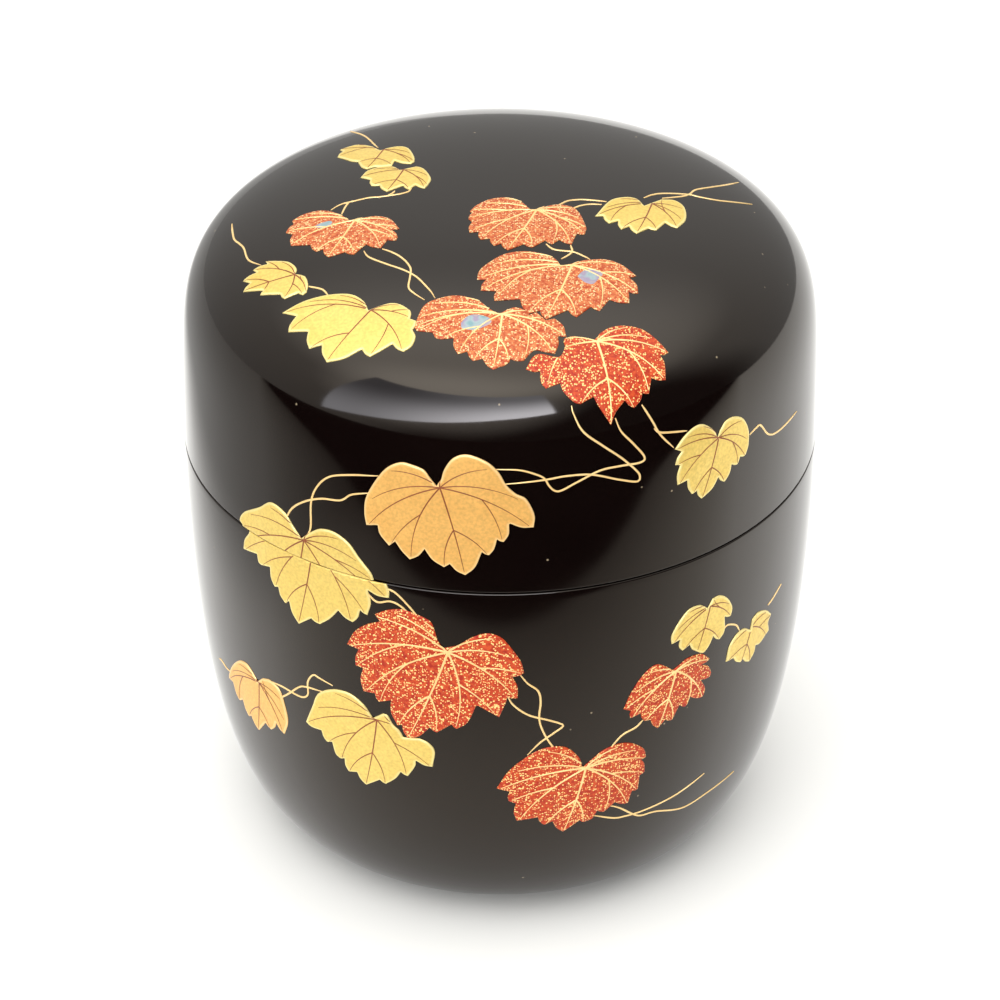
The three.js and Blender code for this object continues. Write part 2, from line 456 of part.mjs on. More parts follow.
// Lays a flat edge on the skin round a place, as a plate between two heights above it.
const layOnSkin = ([azimuth, run], turn, flatEdge, low, high) => {
  const place = { azimuth: deg(azimuth), run };
  const rings = Math.ceil(Math.max(...flatEdge.map((point) => point.length())) / RING_SPACING);
  const shares = Array.from({ length: rings }, (_, i) => (i + 1) / rings);
  const spots = [place];
  for (const share of shares) {
    for (const point of flatEdge) {
      spots.push(walk(place, deg(turn) + point.angle(), point.length() * share));
    }
  }
  const layers = [high, low].flatMap((height) => spots.map((spot) => onSkin(spot, height)));
  return plate(layers, flatEdge.length, rings);
};

// Drops points that fall closer together than the solids need.
const thinned = (points) => points.filter((point, i) => point.distanceTo(points.at(i - 1)) > 0.25);

const leafGeometry = (leaf) => layOnSkin(
  leaf.at, leaf.turn, thinned(edgePoints(leaf.edge)), LEAF_BOND, LEAF_BOND + LEAF_THICKNESS,
);

const inlayGeometry = (inlay, grow, low, high) => {
  const edge = inlay.edge.map(([angle, distance]) => flatPoint([angle, distance + grow]));
  return layOnSkin(inlay.at, 0, edge, low, high);
};

// ---- Cutting ----
const asSolid = (geometry) => {
  const bare = geometry.clone();
  bare.deleteAttribute('normal');
  bare.deleteAttribute('uv');
  const merged = mergeVertices(bare, 1e-4);
  return new wasm.Manifold(new wasm.Mesh({
    numProp: 3,
    vertProperties: new Float32Array(merged.attributes.position.array),
    triVerts: new Uint32Array(merged.index.array),
  }));
};

const asGeometry = (solid) => {
  const mesh = solid.getMesh();
  const geometry = new THREE.BufferGeometry();
  geometry.setAttribute('position', new THREE.BufferAttribute(mesh.vertProperties, 3));
  geometry.setIndex(new THREE.BufferAttribute(mesh.triVerts, 1));
  return geometry;
};

// A block as wide as the caddy between two heights.
const slab = (low, high) => {
  const geometry = new THREE.BoxGeometry(DIAMETER * 2, DIAMETER * 2, high - low);
  geometry.translate(0, 0, (low + high) / 2);
  return asSolid(geometry);
};

// ---- Materials ----
const MATERIALS = {
  lacquer: { color: 0x14100f, roughness: 0.12, metalness: 0 },
  wood: { color: 0xc49a66, roughness: 0.7, metalness: 0 },
  gold: { color: 0xefd06a, roughness: 0.4, metalness: 0.6 },
  orange: { color: 0xe8aa55, roughness: 0.4, metalness: 0.6 },
  vermilion: { color: 0xc4401f, roughness: 0.5, metalness: 0 },
  coral: { color: 0xd8603c, roughness: 0.5, metalness: 0 },
  shell: { color: 0xd5dcdc, roughness: 0.2, metalness: 0 },
};

const piece = (name, geometry, finish) => {
  const mesh = new THREE.Mesh(geometry, new THREE.MeshStandardMaterial(MATERIALS[finish]));
  mesh.name = name;
  return mesh;
};

// ---- Assembly ----
const caddy = new THREE.Group();
const body = new THREE.Group();
const lid = new THREE.Group();
caddy.add(body, lid);

body.add(
  piece('body_core', turned(bodyCoreProfile), 'wood'),
  piece('body_outer_lacquer', turned(bodyOuterCoatProfile), 'lacquer'),
  piece('body_inner_lacquer', turned(bodyInnerCoatProfile), 'lacquer'),
  piece('base_lacquer', turned(baseCoatProfile), 'lacquer'),
);
lid.add(
  piece('lid_core', turned(lidCoreProfile), 'wood'),
  piece('lid_outer_lacquer', turned(lidOuterCoatProfile), 'lacquer'),
  piece('lid_inner_lacquer', turned(lidInnerCoatProfile), 'lacquer'),
);

for (const leaf of LEAVES) {
  const home = leaf.name.startsWith('lid') ? lid : body;
  let geometry = leafGeometry(leaf);
  if (leaf.inlay) {
    const pocket = inlayGeometry(leaf.inlay, LEAF_GAP, 0, LEAF_BOND + LEAF_THICKNESS * 2);
    geometry = asGeometry(asSolid(geometry).subtract(asSolid(pocket)));
    const top = LEAF_BOND + LEAF_THICKNESS + SHELL_PROUD;
    home.add(piece(leaf.name.replace('leaf', 'shell_inlay'), inlayGeometry(leaf.inlay, 0, LEAF_BOND, top), 'shell'));
  }
  home.add(piece(leaf.name, geometry, leaf.colour));
}

const seamLeaf = asSolid(leafGeometry(SEAM_LEAF));
const lidHalf = asGeometry(seamLeaf.intersect(slab(LID_EDGE, TOP)));
lidHalf.rotateZ(deg(LID_TURN));
lid.add(piece('lid_half_of_seam_leaf', lidHalf, 'gold'));
body.add(piece('body_half_of_seam_leaf', asGeometry(seamLeaf.intersect(slab(0, SEAM))), 'gold'));

export default caddy;
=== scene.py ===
"""A lacquered tea caddy: polished black lacquer over turned wood, raised vine leaves, gold tendrils, shell.

Each operator makes one piece, or one group of like pieces, round the solid model of the caddy. Outlines are
in millimetres and degrees; everything that Blender holds is in metres.
"""

import math

import bmesh
import bpy
import numpy as np
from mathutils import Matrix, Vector
from mathutils.geometry import delaunay_2d_cdt


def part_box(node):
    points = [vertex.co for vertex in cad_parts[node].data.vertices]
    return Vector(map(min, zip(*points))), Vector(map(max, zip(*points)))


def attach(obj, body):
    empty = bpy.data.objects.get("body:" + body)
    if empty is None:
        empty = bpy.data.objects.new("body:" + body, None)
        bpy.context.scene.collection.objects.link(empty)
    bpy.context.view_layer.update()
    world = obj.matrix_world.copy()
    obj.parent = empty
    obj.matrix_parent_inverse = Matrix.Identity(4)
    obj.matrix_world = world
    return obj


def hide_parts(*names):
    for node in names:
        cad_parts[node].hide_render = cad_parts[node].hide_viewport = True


bl_info = {
    "name": "Lacquered Tea Caddy",
    "version": (1, 0, 0),
    "blender": (4, 5, 0),
    "location": "3D View > Sidebar > Tea Caddy",
    "description": "Lacquer, raised leaves, tendrils and shell for a tea caddy",
    "category": "Object",
}

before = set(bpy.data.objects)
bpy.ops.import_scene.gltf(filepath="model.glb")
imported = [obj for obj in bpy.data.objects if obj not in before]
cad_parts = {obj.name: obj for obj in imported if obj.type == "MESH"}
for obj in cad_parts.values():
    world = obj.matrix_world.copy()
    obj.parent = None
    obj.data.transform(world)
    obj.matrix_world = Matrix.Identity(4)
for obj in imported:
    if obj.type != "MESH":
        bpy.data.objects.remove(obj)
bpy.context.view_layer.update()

MM = 0.001

# Sizes in mm that follow from the solid model.
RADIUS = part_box("body_outer_lacquer")[1].x / MM
RIM_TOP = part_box("body_outer_lacquer")[1].z / MM
LID_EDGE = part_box("lid_outer_lacquer")[0].z / MM
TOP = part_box("lid_outer_lacquer")[1].z / MM
FOOT_RADIUS = 19.3
SEAM = LID_EDGE - 0.15
LID_TAPER = 0.64
LID_SHOULDER = 7
LID_CROWN = 2.4
BODY_BELLY = 8
BODY_DRAW = 2.116
BASE_RECESS = 0.8
FOOT_RING = 1.9
COAT = 0.4
LID_MOUTH = RADIUS - 2
RIM_OUTSIDE = LID_MOUTH - 0.15
RIM_INSIDE = RIM_OUTSIDE - 1.4
FLOOR_TOP = 4.2
BORE_TOP = RIM_TOP + 1
LID_INSIDE_TOP = TOP - 3
LID_INNER_SHOULDER = 4
LID_TURN = math.radians(-2.1)   # the lid sits turned this far round on the rim

SEGMENTS = 288                  # round a turned surface
CURVE_STEPS = 96                # along a long curve of a profile
CLOSE_LOW_DOWN = 1 - (1 - np.linspace(0, 1, CURVE_STEPS + 1)) ** 2
SKIN_STEPS = 2000               # along the lid and along the body, where leaves are laid out

# The leaves. Each has its name, finish, where its middle lies (azimuth in degrees from the front, and mm
# down the skin from the seam, minus on the lid), the bearing of its midrib from straight down, and its
# edge as (angle from the midrib, mm from the middle). The edge is a list of runs, each from a notch to the
# next tip: a run of two points bulges, a longer one is a smooth curve, and straight steps join the runs.
LEAVES = [
    ("lid_leaf_gold_back_left", "gold", (-130, -36), 111, [
        [(-167, 1), (-139, 2.8), (-125, 4.2), (-104, 5)], [(-98, 4.3), (-79, 4.4)],
        [(-63, 3.4), (-37, 2.5)], [(-32, 2.7), (-11, 3.4), (1, 3.7)], [(14, 3.1), (44, 3.4)],
        [(59, 2.6), (68, 4.5)], [(75, 4.5), (90, 3.9), (126, 3.2), (147, 2.7), (167, 1.8)],
    ]),
    ("lid_leaf_gold_crown_left", "gold", (-116, -40.5), 106, [
        [(163, 1), (-159, 1.9), (-130, 2.6), (-104, 3.2), (-78, 3.6)], [(-62, 2.7), (-37, 3.3)],
        [(-25, 2.8), (-2, 3.9)], [(27, 2.8), (32, 3.9)], [(48, 3.4), (51, 4.6)],
        [(59, 4.4), (79, 3.9), (111, 3.1), (133, 2.7), (144, 1.8)],
    ]),
    ("lid_leaf_red_crown_left", "coral", (-70.5, -36), 53, [
        [(-178, 1.4), (-146, 3.1), (-130, 4.8), (-114, 5.8), (-100, 6.3)], [(-94, 5.8), (-80, 6.2)],
        [(-75, 5.4), (-54, 5.8)], [(-39, 4.2), (-20, 4.7)], [(-15, 4.1), (0, 5.3)], [(18, 4.5), (28, 5.2)],
        [(49, 4.1), (57, 5.7)], [(73, 5.2), (76, 6)], [(81, 5.9), (94, 4.7)],
        [(97, 5.5), (119, 4.6), (136, 3.6), (152, 2.3)],
    ]),
    ("lid_leaf_gold_small_left", "gold", (-60.5, -27.5), -35, [
        [(179, 1.3), (-148, 1.6), (-104, 2.1), (-74, 2.7), (-54, 3.7)], [(-52, 3.1), (-31, 4)],
        [(-27, 3.3), (-11, 4.5)], [(-2, 3.5), (10, 4.3)], [(39, 2.4), (43, 3)], [(91, 2.7), (99, 3.5)],
        [(123, 3.6), (126, 4.2)], [(132, 4.2), (145, 3.5), (163, 2.6), (172, 1.9)],
    ]),
    ("lid_leaf_gold_shoulder", "gold", (-33.5, -27.5), -6, [
        [(176, 1.3), (-150, 2.4), (-127, 3.7), (-104, 5), (-85, 6.7), (-71, 8.4)],
        [(-68, 6.7), (-59, 7.2), (-53, 7.3)], [(-47, 5.2), (-26, 5.7)], [(-19, 4.5), (-10, 5.1), (1, 5.6)],
        [(1, 5.6), (19, 4.8), (42, 3.9)], [(42, 3.9), (50, 5)], [(50, 5), (64, 4.9), (79, 5)],
        [(79, 5), (80, 6.5)], [(80, 6.5), (88, 6.7), (98, 6.4), (105, 5.7)], [(105, 5.7), (117, 5.7)],
        [(120, 5), (133, 5)], [(133, 5), (146, 4.3), (157, 3.5), (165, 2.3)],
    ]),
    ("lid_leaf_red_crown", "coral", (29.5, -47), -46, [
        [(175, 1.5), (-154, 3.3), (-139, 4.5), (-120, 5.2), (-100, 5.6), (-86, 5.8)],
        [(-83, 5.5), (-71, 5.8)], [(-64, 5.5), (-46, 6.4)], [(-43, 5.5), (-30, 6.3)],
        [(-25, 5.5), (-14, 6.4)], [(-10, 5.7), (0, 6.6)], [(13, 5.2), (22, 5.8)], [(39, 4.8), (43, 5.7)],
        [(54, 5.3), (58, 6.7)], [(76, 5.8), (79, 6.5)],
        [(89, 6.3), (114, 5.5), (132, 5.2), (147, 4.2), (157, 2.9)],
    ]),
    ("lid_leaf_gold_crown_right", "gold", (81, -38), -88, [
        [(168, 1.1), (-164, 2.4), (-140, 3), (-108, 3.5), (-62, 5)], [(-60, 4.2), (-40, 4.5)],
        [(-37, 3.4), (-20, 4.6)], [(-14, 3.6), (0, 4.7)], [(18, 3.5), (29, 3.9)], [(58, 3.1), (60, 4.5)],
        [(60, 4.5), (87, 4.6), (117, 4.8), (136, 4.6), (149, 3.5)],
    ]),
    ("lid_leaf_red_centre", "coral", (20.5, -36), -31, [
        [(179, 1.6), (-163, 2.9), (-147, 4), (-130, 5.3), (-113, 6.4), (-95, 7.2), (-84, 7.8), (-74, 8)],
        [(-73, 7.1), (-61, 8)], [(-56, 6.6), (-46, 7.5)], [(-34, 5.4), (-24, 6.2), (-16, 6.7)],
        [(-8, 5.8), (0, 6.8)], [(20, 5.3), (26, 6.4)], [(45, 5.5), (49, 6.4)], [(67, 5.9), (74, 7.7)],
        [(86, 7.1), (87, 8)], [(87, 8), (96, 7.7), (105, 6.9)], [(105, 6.9), (107, 7.7)],
        [(107, 7.7), (122, 6.7), (135, 5.6), (148, 3.9)],
    ]),
    ("lid_leaf_red_front", "coral", (-1, -28.5), -2, [
        [(176, 2.4), (-166, 3.3), (-155, 4.9), (-140, 6.6), (-124, 7.7), (-115, 8), (-104, 7.9)],
        [(-95, 7.9), (-91, 7.6)], [(-89, 6.1), (-82, 5.8), (-79, 5.3)], [(-78, 4.1), (-51, 4.5)],
        [(-46, 3.6), (-29, 4.1)], [(-18, 3.5), (0, 4.5)], [(8, 4.2), (22, 3.9)], [(26, 3.6), (41, 4.4)],
        [(54, 4.2), (63, 4.4), (66, 5.2), (69, 6.2)], [(69, 6.2), (80, 6.2), (89, 6)],
        [(90, 6.1), (90, 6.8)], [(90, 6.8), (102, 6.6), (112, 6)], [(112, 5.1), (120, 4.9), (128, 4.8)],
        [(129, 4), (142, 4.1), (154, 3.9), (164, 3.2)],
    ]),
    ("lid_leaf_red_right", "vermilion", (20, -23.5), -3, [
        [(178, 2.9), (-167, 3.4), (-155, 4.1), (-143, 4.5)],
        [(-138, 4.3), (-131, 3.9), (-113, 4.1), (-113, 5.5), (-112, 6.2), (-107, 6.7), (-97, 7.3)],
        [(-95, 6.8), (-94, 6)], [(-93, 6), (-83, 6.2), (-76, 6)],
        [(-75, 4.5), (-65, 4.7), (-48, 4.7), (-39, 4.5)], [(-25, 3.3), (-15, 4.1), (0, 5.9)],
        [(0, 5.9), (7, 4.8), (24, 4.1)], [(24, 4.1), (29, 5.2)], [(29, 5.2), (40, 5.1), (48, 4.8)],
        [(48, 4.8), (52, 5.4)], [(69, 5.1), (71, 6.6)], [(71, 6.6), (86, 6.5), (94, 6.2)],
        [(94, 6.2), (95, 7.2)],
        [(95, 7.2), (109, 6.7), (124, 6.3), (140, 5.5), (154, 4.6), (166, 3.7), (170, 3.3)],
    ]),
    ("lid_leaf_gold_right", "gold", (39.5, -11.5), -19, [
        [(178, 1.5), (-164, 2.4), (-143, 3.7), (-128, 4.3), (-110, 4.7), (-94, 5.1)],
        [(-92, 4.2), (-74, 4.7)], [(-72, 4.1), (-46, 4.9)], [(-41, 3.8), (-17, 4.6)],
        [(-12, 4.1), (1, 4.9)], [(1, 4.9), (17, 4), (31, 3.1)], [(31, 3.1), (40, 4.2)],
        [(40, 4.2), (53, 3.9), (66, 3.4)], [(66, 3.4), (70, 4.3)], [(81, 4.2), (83, 5)],
        [(83, 5), (96, 5.1), (115, 5), (135, 4.7), (152, 4.1), (167, 3.3), (175, 2.3)],
    ]),
    ("lid_leaf_orange_front", "orange", (-9.5, -10), 15, [
        [(-175, 2.1), (-169, 3.2), (-166, 4.1), (-156, 5.1), (-148, 5.9), (-135, 6.5), (-119, 7),
        (-101, 7.9), (-89, 8.4), (-80, 8.7)], [(-78, 7.5), (-71, 7.8), (-60, 7.8)],
        [(-60, 6.9), (-51, 7.2), (-42, 7.5)], [(-42, 7.5), (-35, 5.6)], [(-35, 5.6), (-15, 7.1)],
        [(-10, 6.7), (0, 8.1)], [(0, 8.1), (9, 7.5), (21, 6.3)], [(21, 6.3), (24, 7)],
        [(24, 7), (31, 6.8), (40, 6.3)], [(40, 6.3), (41, 7)], [(41, 7), (49, 7), (58, 6.6)],
        [(59, 6.7), (60, 9)], [(60, 9), (69, 8.8), (81, 8), (87, 7.1), (97, 6.5), (111, 6.5), (125, 6.4),
        (143, 6), (155, 5.2), (164, 3.9), (170, 2.8)],
    ]),
    ("body_leaf_red_front", "vermilion", (-11, 9), -18, [
        [(-178, 2.4), (-165, 3.2), (-160, 4.4), (-156, 5.4), (-144, 6.3), (-133, 7.2), (-122, 7.7),
        (-111, 8.1)], [(-109, 7.2), (-98, 8.1), (-87, 8.9), (-75, 9.5)],
        [(-74, 8.2), (-67, 8.6), (-60, 8.8)], [(-58, 8), (-49, 8.8), (-40, 9.2)], [(-36, 8.1), (-29, 8.4)],
        [(-25, 7.1), (-18, 8.3), (-9, 9.3)], [(-7, 8.9), (0, 10.2)], [(0, 10.2), (6, 9.4), (12, 7.9)],
        [(12, 7.9), (17, 8.4)], [(29, 7.3), (32, 7.9)], [(32, 7.9), (42, 7.4), (59, 6)],
        [(60, 6.1), (62, 7.1), (64, 8.6)], [(64, 8.6), (77, 8), (82, 7.8)], [(82, 7.8), (84, 8.8)],
        [(84, 8.8), (93, 8.3), (101, 7.6)], [(101, 7.6), (105, 8.7)],
        [(105, 8.7), (115, 8.4), (130, 7.8), (140, 7.5), (149, 6.7), (155, 5.3), (160, 3.5)],
    ]),
    ("body_leaf_gold_front", "gold", (-24, 20), -8, [
        [(179, 3), (-166, 4.4), (-151, 5.7), (-134, 6.5), (-115, 7), (-96, 7), (-77, 7.8)],
        [(-76, 7.8), (-73, 7.2), (-72, 5.9)], [(-71, 5.9), (-58, 5.7)], [(-58, 5), (-43, 5.5), (-35, 5.4)],
        [(-33, 4.9), (-20, 6.1)], [(-12, 5.4), (0, 6.6)], [(16, 5.3), (22, 5.8)],
        [(22, 5.8), (37, 5.2), (50, 4.7)], [(50, 4.7), (53, 5.5)], [(53, 5.5), (71, 5.3), (79, 5.1)],
        [(80, 5.2), (80, 6.9)], [(81, 6.9), (98, 6.9), (107, 6.4), (113, 5.6)],
        [(117, 3.9), (130, 3.9), (144, 3.8), (158, 4.3), (165, 4.2)],
    ]),
    ("body_leaf_orange_left", "orange", (-51, 20.5), -9, [
        [(178, 1.4), (-155, 2.3), (-140, 3.1), (-117, 3.7), (-86, 4.8), (-67, 6.2), (-61, 6.7)],
        [(-59, 5.6), (-47, 5.9), (-38, 5.8)], [(-37, 4.7), (-18, 5.7)], [(-15, 5), (0, 6)],
        [(20, 3.9), (29, 4.6)], [(29, 4.6), (53, 3.8)], [(53, 3.8), (54, 5.3)],
        [(54, 5.3), (79, 4.9), (105, 4.5), (129, 4.5), (147, 3.7), (160, 2.7)],
    ]),
    ("body_leaf_red_low", "vermilion", (14.5, 24), -10, [
        [(178, 1.6), (-168, 3), (-153, 4.7), (-140, 5.6), (-127, 6.2), (-111, 6.7), (-93, 7.5), (-76, 8.4)],
        [(-72, 7.1), (-62, 7.5)], [(-57, 6.9), (-40, 8.1)], [(-30, 6.3), (-19, 6.9)],
        [(-14, 6.1), (0, 7.5)], [(14, 6), (17, 6.4)], [(17, 6.4), (26, 6.3), (34, 5.5)],
        [(34, 5.5), (39, 6.2)], [(53, 6), (58, 7.6)], [(70, 6.9), (73, 7.5)], [(88, 6.9), (91, 7.4)],
        [(91, 7.4), (100, 7.2), (106, 6.8)], [(106, 6.8), (107, 7.4)],
        [(107, 7.4), (117, 7.3), (131, 6.5), (143, 5.5), (154, 4.1), (163, 2.6)],
    ]),
    ("body_leaf_red_right", "vermilion", (31.5, 14), -11, [
        [(180, 1.4), (-156, 2.1), (-139, 3.2), (-122, 3.6), (-101, 3.9), (-79, 4.5), (-60, 5.5)],
        [(-52, 4.9), (-43, 5.4)], [(-37, 4.3), (-23, 4.9)], [(-15, 4.6), (0, 5.7)], [(8, 4.8), (18, 5.2)],
        [(33, 3.8), (40, 4.7)], [(53, 4.1), (60, 5.9)], [(60, 5.9), (70, 5.5), (81, 4.3)],
        [(81, 4.3), (83, 5.3), (89, 5.5), (100, 4.9), (108, 4)], [(109, 4), (110, 5.1)],
        [(110, 5.1), (128, 4.3), (147, 3), (158, 2.1)],
    ]),
    ("body_leaf_gold_right", "gold", (39, 7.5), -9, [
        [(-175, 0.9), (-140, 2), (-116, 3), (-90, 3.7), (-71, 4.5), (-59, 4.7)],
        [(-56, 3.7), (-46, 4.2), (-35, 4.3)], [(-29, 3.4), (-7, 4.1)],
        [(-7, 4.1), (6, 4.5), (17, 3.9), (28, 3.1)], [(28, 3.1), (36, 4.3)],
        [(36, 4.3), (50, 4), (73, 2.8)], [(73, 2.8), (74, 3.8)],
        [(74, 3.8), (91, 3.6), (118, 2.9), (146, 2.4), (168, 1.9)],
    ]),
    ("body_leaf_gold_far_right", "gold", (51, 13.5), -24, [
        [(-166, 0.8), (-122, 1.9), (-97, 2.7), (-72, 3.3), (-45, 3.8)], [(-36, 2.8), (1, 2.9)],
        [(6, 2.5), (32, 3.5)], [(32, 3.5), (50, 2.9), (60, 2.3)], [(60, 2.3), (70, 3), (88, 3.7)],
        [(88, 3.7), (95, 4.1), (112, 3.6), (121, 4.2)], [(121, 4.2), (143, 3.4), (172, 2.7), (-166, 2)],
    ]),
    ("seam_leaf", "gold", (-35, -0.5), -10, [
        [(178, 1.9), (-158, 2.9), (-146, 4.4), (-130, 5.7), (-109, 6.2), (-90, 7.9), (-81, 8.6),
        (-78, 8.1)], [(-74, 8.4), (-61, 9.9)], [(-59, 7.6), (-53, 7.8), (-50, 7.5)],
        [(-47, 6.2), (-38, 6.9), (-30, 7.2)], [(-28, 6.7), (-22, 7.3), (-15, 7.6)], [(-13, 6.9), (0, 8.8)],
        [(11, 7.3), (19, 7.7)], [(19, 7.7), (31, 6.9), (44, 6.2)], [(44, 6.2), (50, 7.9)],
        [(50, 7.9), (63, 7.4)], [(64, 7.4), (65, 8.2)], [(65, 8.2), (76, 7.8), (85, 7.1)],
        [(86, 7.1), (87, 9.3)], [(87, 9.3), (96, 8.9)],
        [(98, 8.7), (103, 8.4), (114, 7.4), (128, 6.8), (142, 5.9), (154, 4.7), (164, 3.2)],
    ]),
]
# Shell inlays: name, middle, and edge, turned as the leaves are but with no midrib.
INLAYS = [
    ("lid_shell_inlay_red_crown_left", (-76, -34),
     [(-61, 0.4), (-9, 0.7), (34, 0.7), (119, 0.8), (171, 1), (-156, 0.9)]),
    ("lid_shell_inlay_red_centre", (30.5, -34.5),
     [(-119, 1.5), (-70, 1.2), (-31, 1.1), (27, 0.6), (92, 1.2), (122, 1.3), (161, 1.3), (-162, 1.3)]),
    ("lid_shell_inlay_red_front", (-6, -29.5),
     [(-86, 1.4), (-55, 1.4), (-4, 0.9), (55, 0.9), (95, 1.5), (123, 1.5), (-176, 1.2), (-132, 1.2)]),
]

# Tendrils, as (azimuth, mm down from the seam) along each gold line. Most lie on the lid or on the body.
TENDRILS = [
    ("lid", [(-141.6, -26.6), (-140.1, -29.7), (-138.4, -31.6), (-136.2, -33.3), (-134.4, -34.6)]),
    ("lid", [(-101.6, -43.2), (-97.4, -43), (-94.8, -42.4), (-93.3, -41.5), (-91.9, -40.2), (-91.8, -39.2),
             (-90, -37.8), (-88.3, -36.3), (-84.9, -35.2)]),
    ("lid", [(-97.8, -41.6), (-95.2, -41.4), (-92.9, -41)]),
    ("lid", [(-89.4, -37.1), (-85.8, -36.7), (-80.5, -36.2)]),
    ("lid", [(-91.9, -24.6), (-87.7, -24.8), (-84.1, -25), (-81.2, -25.5), (-78.3, -25.8), (-73.1, -25.8),
             (-68.6, -26.6)]),
    ("lid", [(-52, -28.4), (-48.3, -28.9), (-45.2, -28.6)]),
    ("lid", [(-53, -35.5), (-49.1, -35.2), (-41.9, -35.4), (-34.3, -35.5), (-27.8, -35), (-21.5, -33.6),
             (-18.5, -32.5)]),
    ("lid", [(-49.2, -37), (-45.9, -37.2), (-41.6, -37.2), (-37.4, -36.9), (-34.1, -36.4), (-31.9, -35.8),
             (-29.8, -34.6), (-28.3, -33.5), (-26.6, -32.9), (-21.1, -32)]),
    ("lid", [(71.6, -46.2), (81.3, -45.5), (85.4, -44.3), (86, -42.9), (85.5, -41.6)]),
    ("lid", [(69.8, -44.7), (76.2, -44.1), (80.3, -43.2), (81.7, -42)]),
    ("lid", [(92.2, -37.8), (95.2, -36.9), (97, -35.6), (97.7, -33), (96.9, -31.8), (96.5, -30.2),
             (97.1, -28.6), (98.9, -25.9)]),
    ("lid", [(93.1, -35.9), (96, -33.7), (98.1, -32.8), (101.3, -31.9), (104.2, -29.8), (106.6, -28),
             (110.1, -25.7)]),
    ("lid", [(25.1, -41.6), (25.7, -40.8), (27.5, -40.2), (33.2, -39.2), (35.5, -37.8), (35.8, -37.2)]),
    ("lid", [(35.4, -40.3), (33, -39.3), (29.7, -38.9), (25.9, -38.6)]),
    ("lid", [(12.8, -20), (13, -19.2), (14.4, -17.4), (17.7, -15.7), (21.1, -14), (23.9, -12.2),
             (24.4, -11.5), (23.8, -11.1), (20.7, -11.7), (15.7, -12.8), (11.3, -13), (7.7, -12.8),
             (3, -12.6), (0.6, -12.5)]),
    ("lid", [(20.4, -18.2), (21.2, -16.8), (23.4, -15.2), (25.3, -13.6), (24.5, -13.1), (20.7, -13.2),
             (17.1, -13.1), (13.1, -12.2), (10.5, -11.5), (9.3, -11.5), (8.3, -12.1), (7.4, -13),
             (5.4, -13.6), (3, -14), (-0.6, -14.1)]),
    ("lid", [(25.7, -18.9), (27.2, -17.1), (28.5, -15.5), (31, -13.7)]),
    ("lid", [(27.4, -16.3), (28.2, -15.8), (29.8, -15.5), (33.9, -15)]),
    ("lid", [(48.6, -11.3), (50.7, -11.6), (51.9, -11.5), (54.4, -9.8), (57.9, -9.2), (65.3, -9.2)]),
    ("lid", [(-40.2, -3.4), (-38.5, -5.3), (-35.5, -6.8), (-32, -7.8), (-28.2, -8.3), (-26, -9.3),
             (-22, -10.1)]),
    ("lid", [(-35.6, -2.6), (-34.4, -4), (-34.2, -7), (-32.9, -9), (-30.3, -10.6), (-26, -11.5),
             (-21, -12.1)]),
    ("body", [(-19.9, 0.5), (-18, 0.9), (-15.7, 2.2), (-13.6, 3.7)]),
    ("body", [(-23.4, 1.5), (-21.5, 2.4), (-19, 2), (-16.8, 2.5), (-14.4, 4)]),
    ("body", [(43.7, 10.3), (44.5, 10.1), (46.8, 10.8), (47.9, 11.8)]),
    ("body", [(-46, 17.8), (-43, 17.6), (-39.4, 17.7), (-37.8, 17.5), (-36.8, 16.8), (-36.6, 15.2),
              (-35.2, 14), (-33.8, 14.1), (-31, 14.4)]),
    ("body", [(-44, 19.3), (-41.7, 18.1), (-38.9, 16.5), (-37.1, 16), (-33.5, 15.7)]),
    ("body", [(20.6, 28.6), (23.1, 29.4), (26.8, 31.2), (28.6, 31.7), (31.9, 31.9), (39, 33.3), (46, 33.1),
              (54.3, 32.9)]),
    ("body", [(18, 29.7), (22.3, 30.8), (24.8, 31), (29, 31), (36.3, 30.5), (43.1, 29.4)]),
    ("body", [(26.4, 17.9), (25.1, 18.6), (22.4, 19.2), (20.2, 20.6)]),
    ("body", [(56.8, 11.4), (58.3, 11.2), (60.8, 10.6), (61.7, 10.4)]),
    ("body", [(3.4, 9.6), (4.8, 10.8), (6.6, 11.8), (7.1, 13.2), (6.9, 15.4), (7.8, 17.3), (9.5, 19.2),
              (11.7, 20.6), (14.6, 22.2)]),
    ("body", [(1.2, 12.2), (2.4, 13.5), (5, 14.8), (8.4, 15.6), (10.6, 16.2), (11.2, 16.6), (9.5, 17.4),
              (7.1, 18.5), (4.9, 20)]),
    ("body", [(-66.8, 21.8), (-65.3, 21.6), (-62.9, 21.7), (-60.5, 21.4)]),
]


# ---- Profiles of the turned surfaces, as (radius, height) in mm ----
def lid_curve(radius, height, base, shoulder, taper, steps=CURVE_STEPS):
    """A shallow crown that turns over into a nearly straight side, from the middle of the top down."""
    turn = np.linspace(math.pi / 2, 0, steps + 1)
    rise = np.sin(turn) ** (2 / shoulder)
    across = np.cos(turn) ** (2 / LID_CROWN)
    across[0] = 0
    return np.column_stack([(radius - taper * rise) * across, base + height * rise])


def body_curve(radius, bottom_radius, top, bottom, belly, draw, shares=CLOSE_LOW_DOWN):
    """A side, straight at the top and rounding in to its bottom, with points at shares of its depth."""
    reach = (1 - (bottom_radius / radius) ** belly) ** (1 / draw)
    depth = reach * shares
    across = np.clip(1 - depth**draw, 0, 1) ** (1 / belly)
    return np.column_stack([radius * across, top - depth / reach * (top - bottom)])


def offset(points, distance):
    """Moves a profile to its right as it runs, square to its direction. Points on the axis stay on it."""
    along = np.gradient(points, axis=0)
    along /= np.linalg.norm(along, axis=1, keepdims=True)
    moved = points + distance * np.column_stack([along[:, 1], -along[:, 0]])
    moved[points[:, 0] < 1e-9, 0] = 0
    return moved


